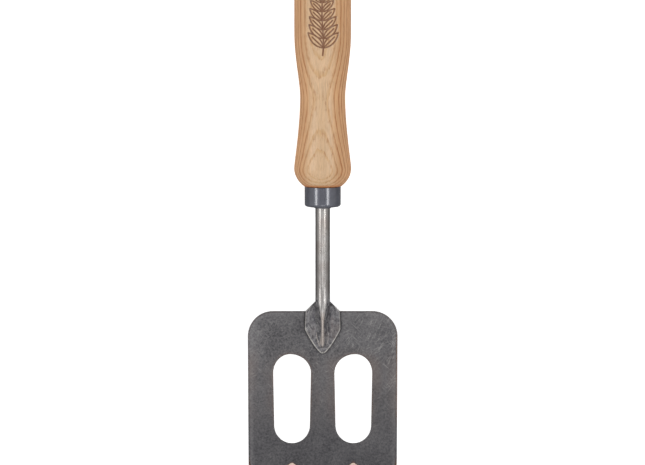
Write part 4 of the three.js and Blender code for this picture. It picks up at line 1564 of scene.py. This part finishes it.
def sprig_drawing(nodes, given):
    """The sprig as flat lines: a stem along Y, with leaves in pairs and one more at its end."""

    def along(part):
        return nodes.total(given["Start"], (given["Length"], part))

    def leaf_share(part):
        return nodes.math("MULTIPLY", given["Leaf Length"], part)

    sway = nodes.math("MULTIPLY", given["Leaf Width"], STEM_SWAY)
    stem_top = nodes.point(0.0, along(1.0))
    stem = nodes.curve(
        STROKE_STEPS,
        nodes.point(0.0, given["Start"]),
        nodes.point(sway, along(STEM_BENDS[0])),
        nodes.point(nodes.math("MULTIPLY", sway, -1.0), along(STEM_BENDS[1])),
        stem_top,
    )
    leaf_end = nodes.point(0.0, given["Leaf Length"])
    strokes = []
    for side in (-LEAF_BULGE, LEAF_BULGE):
        bulge = nodes.math("MULTIPLY", given["Leaf Width"], side)
        handles = [nodes.point(bulge, leaf_share(part)) for part in LEAF_FULLEST]
        strokes.append(nodes.curve(STROKE_STEPS, (0, 0, 0), *handles, leaf_end))
    strokes.append(nodes.line((0, 0, 0), nodes.point(0.0, leaf_share(VEIN_LENGTH))))
    leaf = nodes.joined(*strokes)

    leafy = {"Curve": stem, "Start": LEAVES_FROM, "End": LEAVES_TO}
    leafy = nodes.add("GeometryNodeTrimCurve", leafy, mode="FACTOR").outputs[0]
    spots = {"Curve": leafy, "Count": given["Pairs"]}
    spots = nodes.add("GeometryNodeCurveToPoints", spots, mode="COUNT").outputs[0]
    order = nodes.math("DIVIDE", nodes.add("GeometryNodeInputIndex").outputs[0], given["Pairs"])
    scale = nodes.total(1.0, (order, nodes.less(given["Last Scale"], 1.0)))
    leaves = []
    for side in (-1, 1):
        turned = nodes.point(0.0, 0.0, nodes.math("MULTIPLY", given["Leaf Angle"], side))
        inputs = {
            "Points": spots,
            "Instance": leaf,
            "Rotation": nodes.add("FunctionNodeEulerToRotation", {0: turned}).outputs[0],
            "Scale": nodes.point(scale, scale, scale),
        }
        leaves.append(nodes.add("GeometryNodeInstanceOnPoints", inputs).outputs[0])
    inputs = {"Geometry": leaf, "Translation": stem_top, "Scale": (LAST_LEAF, LAST_LEAF, LAST_LEAF)}
    last = nodes.add("GeometryNodeTransform", inputs).outputs[0]
    lines = nodes.add("GeometryNodeRealizeInstances", {"Geometry": nodes.joined(stem, *leaves, last)})
    return nodes.add("GeometryNodeCurveToMesh", {"Curve": lines.outputs[0]}).outputs[0]


def sprig_tree(material):
    """Burns a sprig into a turned piece, along Y on the side towards +Z."""
    names = ["Start", "Length", "Leaf Length", "Leaf Width", "Leaf Angle", "Last Scale"]
    names += ["Stroke", "Softness", "Depth"]
    nodes, given = new_tree("burnt_sprig", {
        "Geometry": "NodeSocketGeometry",
        **{name: "NodeSocketFloat" for name in names},
        "Pairs": "NodeSocketInt",
    })
    x, y, z = nodes.parts(nodes.add("GeometryNodeInputPosition").outputs[0])
    radius = nodes.length(nodes.point(x, 0.0, z))
    unrolled = nodes.point(nodes.math("MULTIPLY", nodes.math("ARCTAN2", x, z), radius), y)
    inputs = {"Geometry": sprig_drawing(nodes, given), "Sample Position": unrolled}
    away = nodes.add("GeometryNodeProximity", inputs, target_element="EDGES").outputs["Distance"]
    half = nodes.math("MULTIPLY", given["Stroke"], 0.5)
    burn = nodes.fade(away, nodes.math("ADD", half, given["Softness"]), half)
    inputs = {"Geometry": given["Geometry"], "Name": "burn", "Value": burn}
    stored = nodes.add("GeometryNodeStoreNamedAttribute", inputs, data_type="FLOAT", domain="POINT")
    sunk = nodes.product(burn, given["Depth"], -1.0)
    normal = nodes.add("GeometryNodeInputNormal").outputs[0]
    inward = nodes.vector("MULTIPLY", normal, nodes.point(sunk, sunk, sunk))
    carved = nodes.add("GeometryNodeSetPosition", {"Geometry": stored.outputs[0], "Offset": inward})
    return end_tree(nodes, carved.outputs[0], material)


def ferrule_tree(turning, material):
    """A drawn cup: a hole in its floor, a short collar round the hole, a round corner and softened rims."""
    names = ("Radius", "Length", "Wall", "Floor", "Corner", "Lip", "Hole Radius", "Collar", "Collar Reach")
    nodes, given = new_tree("drawn_ferrule", {name: "NodeSocketFloat" for name in names})
    lathe = Lathe(nodes, turning, FERRULE_SEGMENTS, 0.0)
    hole, radius, length, lip = given["Hole Radius"], given["Radius"], given["Length"], given["Lip"]
    inner = nodes.less(radius, given["Wall"])

    def corner(start, end, middle, rows):
        """A quarter round from start to end, whose tangents meet at the middle."""
        handles = []
        for point in (start, end):
            pull = nodes.vector("MULTIPLY", nodes.vector("SUBTRACT", middle, point), (QUARTER_ROUND,) * 3)
            handles.append(nodes.vector("ADD", point, pull))
        lathe.curve(start, *handles, end, rows)

    low = nodes.less(0.0, given["Collar"])
    low_hole = nodes.point(hole, nodes.math("ADD", low, lip))
    low_start = nodes.point(nodes.math("ADD", hole, lip), low)
    low_end = nodes.point(nodes.less(radius, given["Corner"]), 0.0)
    bend = nodes.total(hole, (given["Collar Reach"], 0.5))
    low_flat = nodes.point(nodes.math("ADD", hole, given["Collar Reach"]), 0.0)
    wall_low = nodes.point(radius, given["Corner"])
    wall_top = nodes.point(radius, nodes.less(length, lip))
    rim_outer = nodes.point(nodes.less(radius, lip), length)
    corner(low_hole, low_start, nodes.point(hole, low), LIP_ROWS)
    lathe.curve(low_start, nodes.point(bend, low), nodes.point(bend, 0.0), low_flat, COLLAR_ROWS)
    lathe.line(low_flat, low_end, FLOOR_ROWS)
    corner(low_end, wall_low, nodes.point(radius, 0.0), CORNER_ROWS)
    lathe.line(wall_low, wall_top, WALL_ROWS)
    corner(wall_top, rim_outer, nodes.point(radius, length), LIP_ROWS)
    inside_line = [
        rim_outer,
        nodes.point(inner, length),
        nodes.point(inner, given["Floor"]),
        nodes.point(hole, given["Floor"]),
        low_hole,
    ]
    for start, end in zip(inside_line, inside_line[1:]):
        lathe.line(start, end)
    return end_tree(nodes, lathe.whole(), material)


# Stage

FLOOR_REACH = 4.0
FLOOR_GAP = 0.1 * MM
PAPER_GLOW = 0.6
STRIP_LEANS = {"strip_left": -41.5, "strip_right": 33}
STRIP_REACH = 1.1
STRIP_SIZE = (0.8, 0.23)
STRIP_TARGET = (0, 0.15, 0)
FRONT_PLACE = (0, -0.5, 1.1)
FRONT_SIZE = (0.5, 0.4)
SENSOR = 36.0


def area_light(name, place, target, size, power):
    """A rectangular light that faces a target."""
    light = bpy.data.lights.new(name, "AREA")
    light.shape = "RECTANGLE"
    light.size, light.size_y = size
    light.energy = power
    lamp = new_piece(name, light)
    lamp.location = place
    lamp.rotation_euler = (Vector(target) - Vector(place)).to_track_quat("-Z", "Y").to_euler()


def floor_paper():
    """White paper that glows a little, so that the floor stays white."""
    material, nodes, shader = new_finish("white_paper")
    fibres = nodes.speckle(in_millimetres(nodes), (0.2, 0.2, 0.2), detail=2)
    set_shader(
        nodes,
        shader,
        base_color=nodes.grey(nodes.fade(fibres, 0.3, 0.7, 0.93, 0.95)),
        roughness=0.9,
        emission_color=(1, 1, 1, 1),
        emission_strength=PAPER_GLOW,
    )
    return material


def white_room(sky):
    """A white room: bright walls, grey below, and darker overhead, where the camera stands."""
    world = bpy.data.worlds.new("white_room")
    world.use_nodes = True
    world.node_tree.nodes.clear()
    nodes = Nodes(world.node_tree)
    height = nodes.parts(nodes.add("ShaderNodeTexCoord").outputs["Generated"])[2]
    walls = nodes.fade(height, -0.35, 0.2, 0.32, 1.0)
    ceiling = nodes.fade(height, 0.2, 0.9, 0.0, 0.05)
    overhead = nodes.fade(height, 0.86, 0.97)
    shade = nodes.total(walls, (ceiling, 1), (overhead, -0.45))
    background = nodes.add("ShaderNodeBackground", {"Color": nodes.grey(shade), "Strength": sky})
    nodes.add("ShaderNodeOutputWorld", {"Surface": background.outputs[0]})
    bpy.context.scene.world = world


# Operators

class SPORK_OT_blade(bpy.types.Operator):
    """Build the slotted, dished and ground blade"""

    bl_idname = "spork.blade"
    bl_label = "Make the blade"

    def execute(self, context):
        leaf = plain(leaf_outline(context.scene.spork_shank))
        piece = new_piece("blade_plate", blade_mesh(context.scene.spork_blade, leaf))
        piece.data.materials.append(blade_steel(context.scene.spork_finishes))
        keep(piece, "blade_steel", "blade")
        return {"FINISHED"}


class SPORK_OT_shank(bpy.types.Operator):
    """Build the forged shank, from its tang to its leaf-shaped foot"""

    bl_idname = "spork.shank"
    bl_label = "Make the shank"

    def execute(self, context):
        scene = context.scene
        grip = grip_place(scene.spork_handle, scene.spork_ferrule)
        piece = new_piece("forged_shank", shank_mesh(scene.spork_shank, scene.spork_ferrule, grip))
        piece.data.materials.append(shank_steel(scene.spork_finishes))
        keep(piece, "forged_steel", "shank")
        return {"FINISHED"}


class SPORK_OT_welds(bpy.types.Operator):
    """Finish the weld nuggets between the foot and the blade"""

    bl_idname = "spork.welds"
    bl_label = "Finish the welds"

    def execute(self, context):
        material = weld_steel(context.scene.spork_finishes)
        for name in WELDS:
            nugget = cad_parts[name]
            nugget.data.materials.clear()
            nugget.data.materials.append(material)
        return {"FINISHED"}


class SPORK_OT_ferrule(bpy.types.Operator):
    """Build the drawn and lacquered ferrule"""

    bl_idname = "spork.ferrule"
    bl_label = "Make the ferrule"

    def execute(self, context):
        scene = context.scene
        sizes = scene.spork_ferrule
        values = {
            **tree_values(sizes),
            "Radius": sizes.diameter / 2,
            "Hole Radius": scene.spork_shank.rod_diameter / 2 + sizes.clearance,
        }
        tree = ferrule_tree(turning_tree(), ferrule_lacquer(scene.spork_finishes))
        mesh = made_by("ferrule_blank", [(tree, values)])
        mesh.transform(grip_place(scene.spork_handle, sizes))
        keep(new_piece("drawn_ferrule", mesh), "ferrule_steel", "ferrule")
        return {"FINISHED"}


class SPORK_OT_handle(bpy.types.Operator):
    """Turn the ash handle and burn the sprig into it"""

    bl_idname = "spork.handle"
    bl_label = "Make the handle"

    def execute(self, context):
        scene = context.scene
        sizes = scene.spork_handle
        grip = grip_place(sizes, scene.spork_ferrule)
        wood = ash_wood(scene.spork_finishes, grip, sizes.tilt)
        values = handle_values(sizes, scene.spork_ferrule, scene.spork_shank)
        trees = [
            (handle_tree(turning_tree(), wood), values),
            (sprig_tree(wood), tree_values(scene.spork_sprig)),
        ]
        mesh = made_by("handle_blank", trees)
        mesh.transform(grip)
        keep(new_piece("turned_handle", mesh), "ash_wood", "handle")
        return {"FINISHED"}


class SPORK_OT_stage(bpy.types.Operator):
    """Set the floor, the lights, the room and the camera"""

    bl_idname = "spork.stage"
    bl_label = "Set the stage"

    def execute(self, context):
        scene = context.scene
        studio = scene.spork_studio
        reach = FLOOR_REACH
        square = ((-reach, -reach), (reach, -reach), (reach, reach), (-reach, reach))
        mesh = bpy.data.meshes.new("studio_floor")
        mesh.from_pydata([(x, y, -FLOOR_GAP) for x, y in square], [], [(0, 1, 2, 3)])
        mesh.materials.append(floor_paper())
        floor = new_piece("studio_floor", mesh)
        floor.visible_glossy = False
        white_room(studio.sky)
        for name, lean in STRIP_LEANS.items():
            angle = math.radians(lean)
            place = (STRIP_REACH * math.sin(angle), STRIP_TARGET[1], STRIP_REACH * math.cos(angle))
            area_light(name, place, STRIP_TARGET, STRIP_SIZE, studio.strip_power)
        area_light("front_box", FRONT_PLACE, (0, 0, 0), FRONT_SIZE, studio.front_power)

        lens = bpy.data.cameras.new("camera")
        lens.sensor_width = SENSOR
        lens.lens = SENSOR * studio.camera_height / studio.view_width
        camera = new_piece("camera", lens)
        camera.location = (studio.view_x, studio.view_y, studio.camera_height)
        scene.camera = camera
        scene.view_settings.view_transform = "Standard"
        return {"FINISHED"}


class SPORK_PT_panel(bpy.types.Panel):
    """Lists the steps that build the spork, with the sizes and colours they use"""

    bl_idname = "SPORK_PT_panel"
    bl_label = "Garden Hand Spork"
    bl_space_type = "VIEW_3D"
    bl_region_type = "UI"
    bl_category = "Spork"

    def draw(self, context):
        for step in STEPS:
            self.layout.operator(step.bl_idname)
        for name in GROUPS:
            group = getattr(context.scene, name)
            box = self.layout.box()
            for key in group.__annotations__:
                box.prop(group, key)


GROUPS = {
    "spork_blade": BladeSizes,
    "spork_shank": ShankSizes,
    "spork_ferrule": FerruleSizes,
    "spork_handle": HandleSizes,
    "spork_sprig": SprigSizes,
    "spork_finishes": Finishes,
    "spork_studio": StudioSettings,
}
STEPS = (SPORK_OT_blade, SPORK_OT_shank, SPORK_OT_welds, SPORK_OT_ferrule, SPORK_OT_handle, SPORK_OT_stage)


def register():
    for part in (*GROUPS.values(), *STEPS, SPORK_PT_panel):
        bpy.utils.register_class(part)
    for name, group in GROUPS.items():
        setattr(bpy.types.Scene, name, PointerProperty(type=group))


def unregister():
    for name in GROUPS:
        delattr(bpy.types.Scene, name)
    for part in (SPORK_PT_panel, *reversed(STEPS), *GROUPS.values()):
        bpy.utils.unregister_class(part)


def main():
    register()
    bpy.ops.spork.blade()
    bpy.ops.spork.shank()
    bpy.ops.spork.welds()
    bpy.ops.spork.ferrule()
    bpy.ops.spork.handle()
    bpy.ops.spork.stage()


if __name__ == "__main__":
    main()
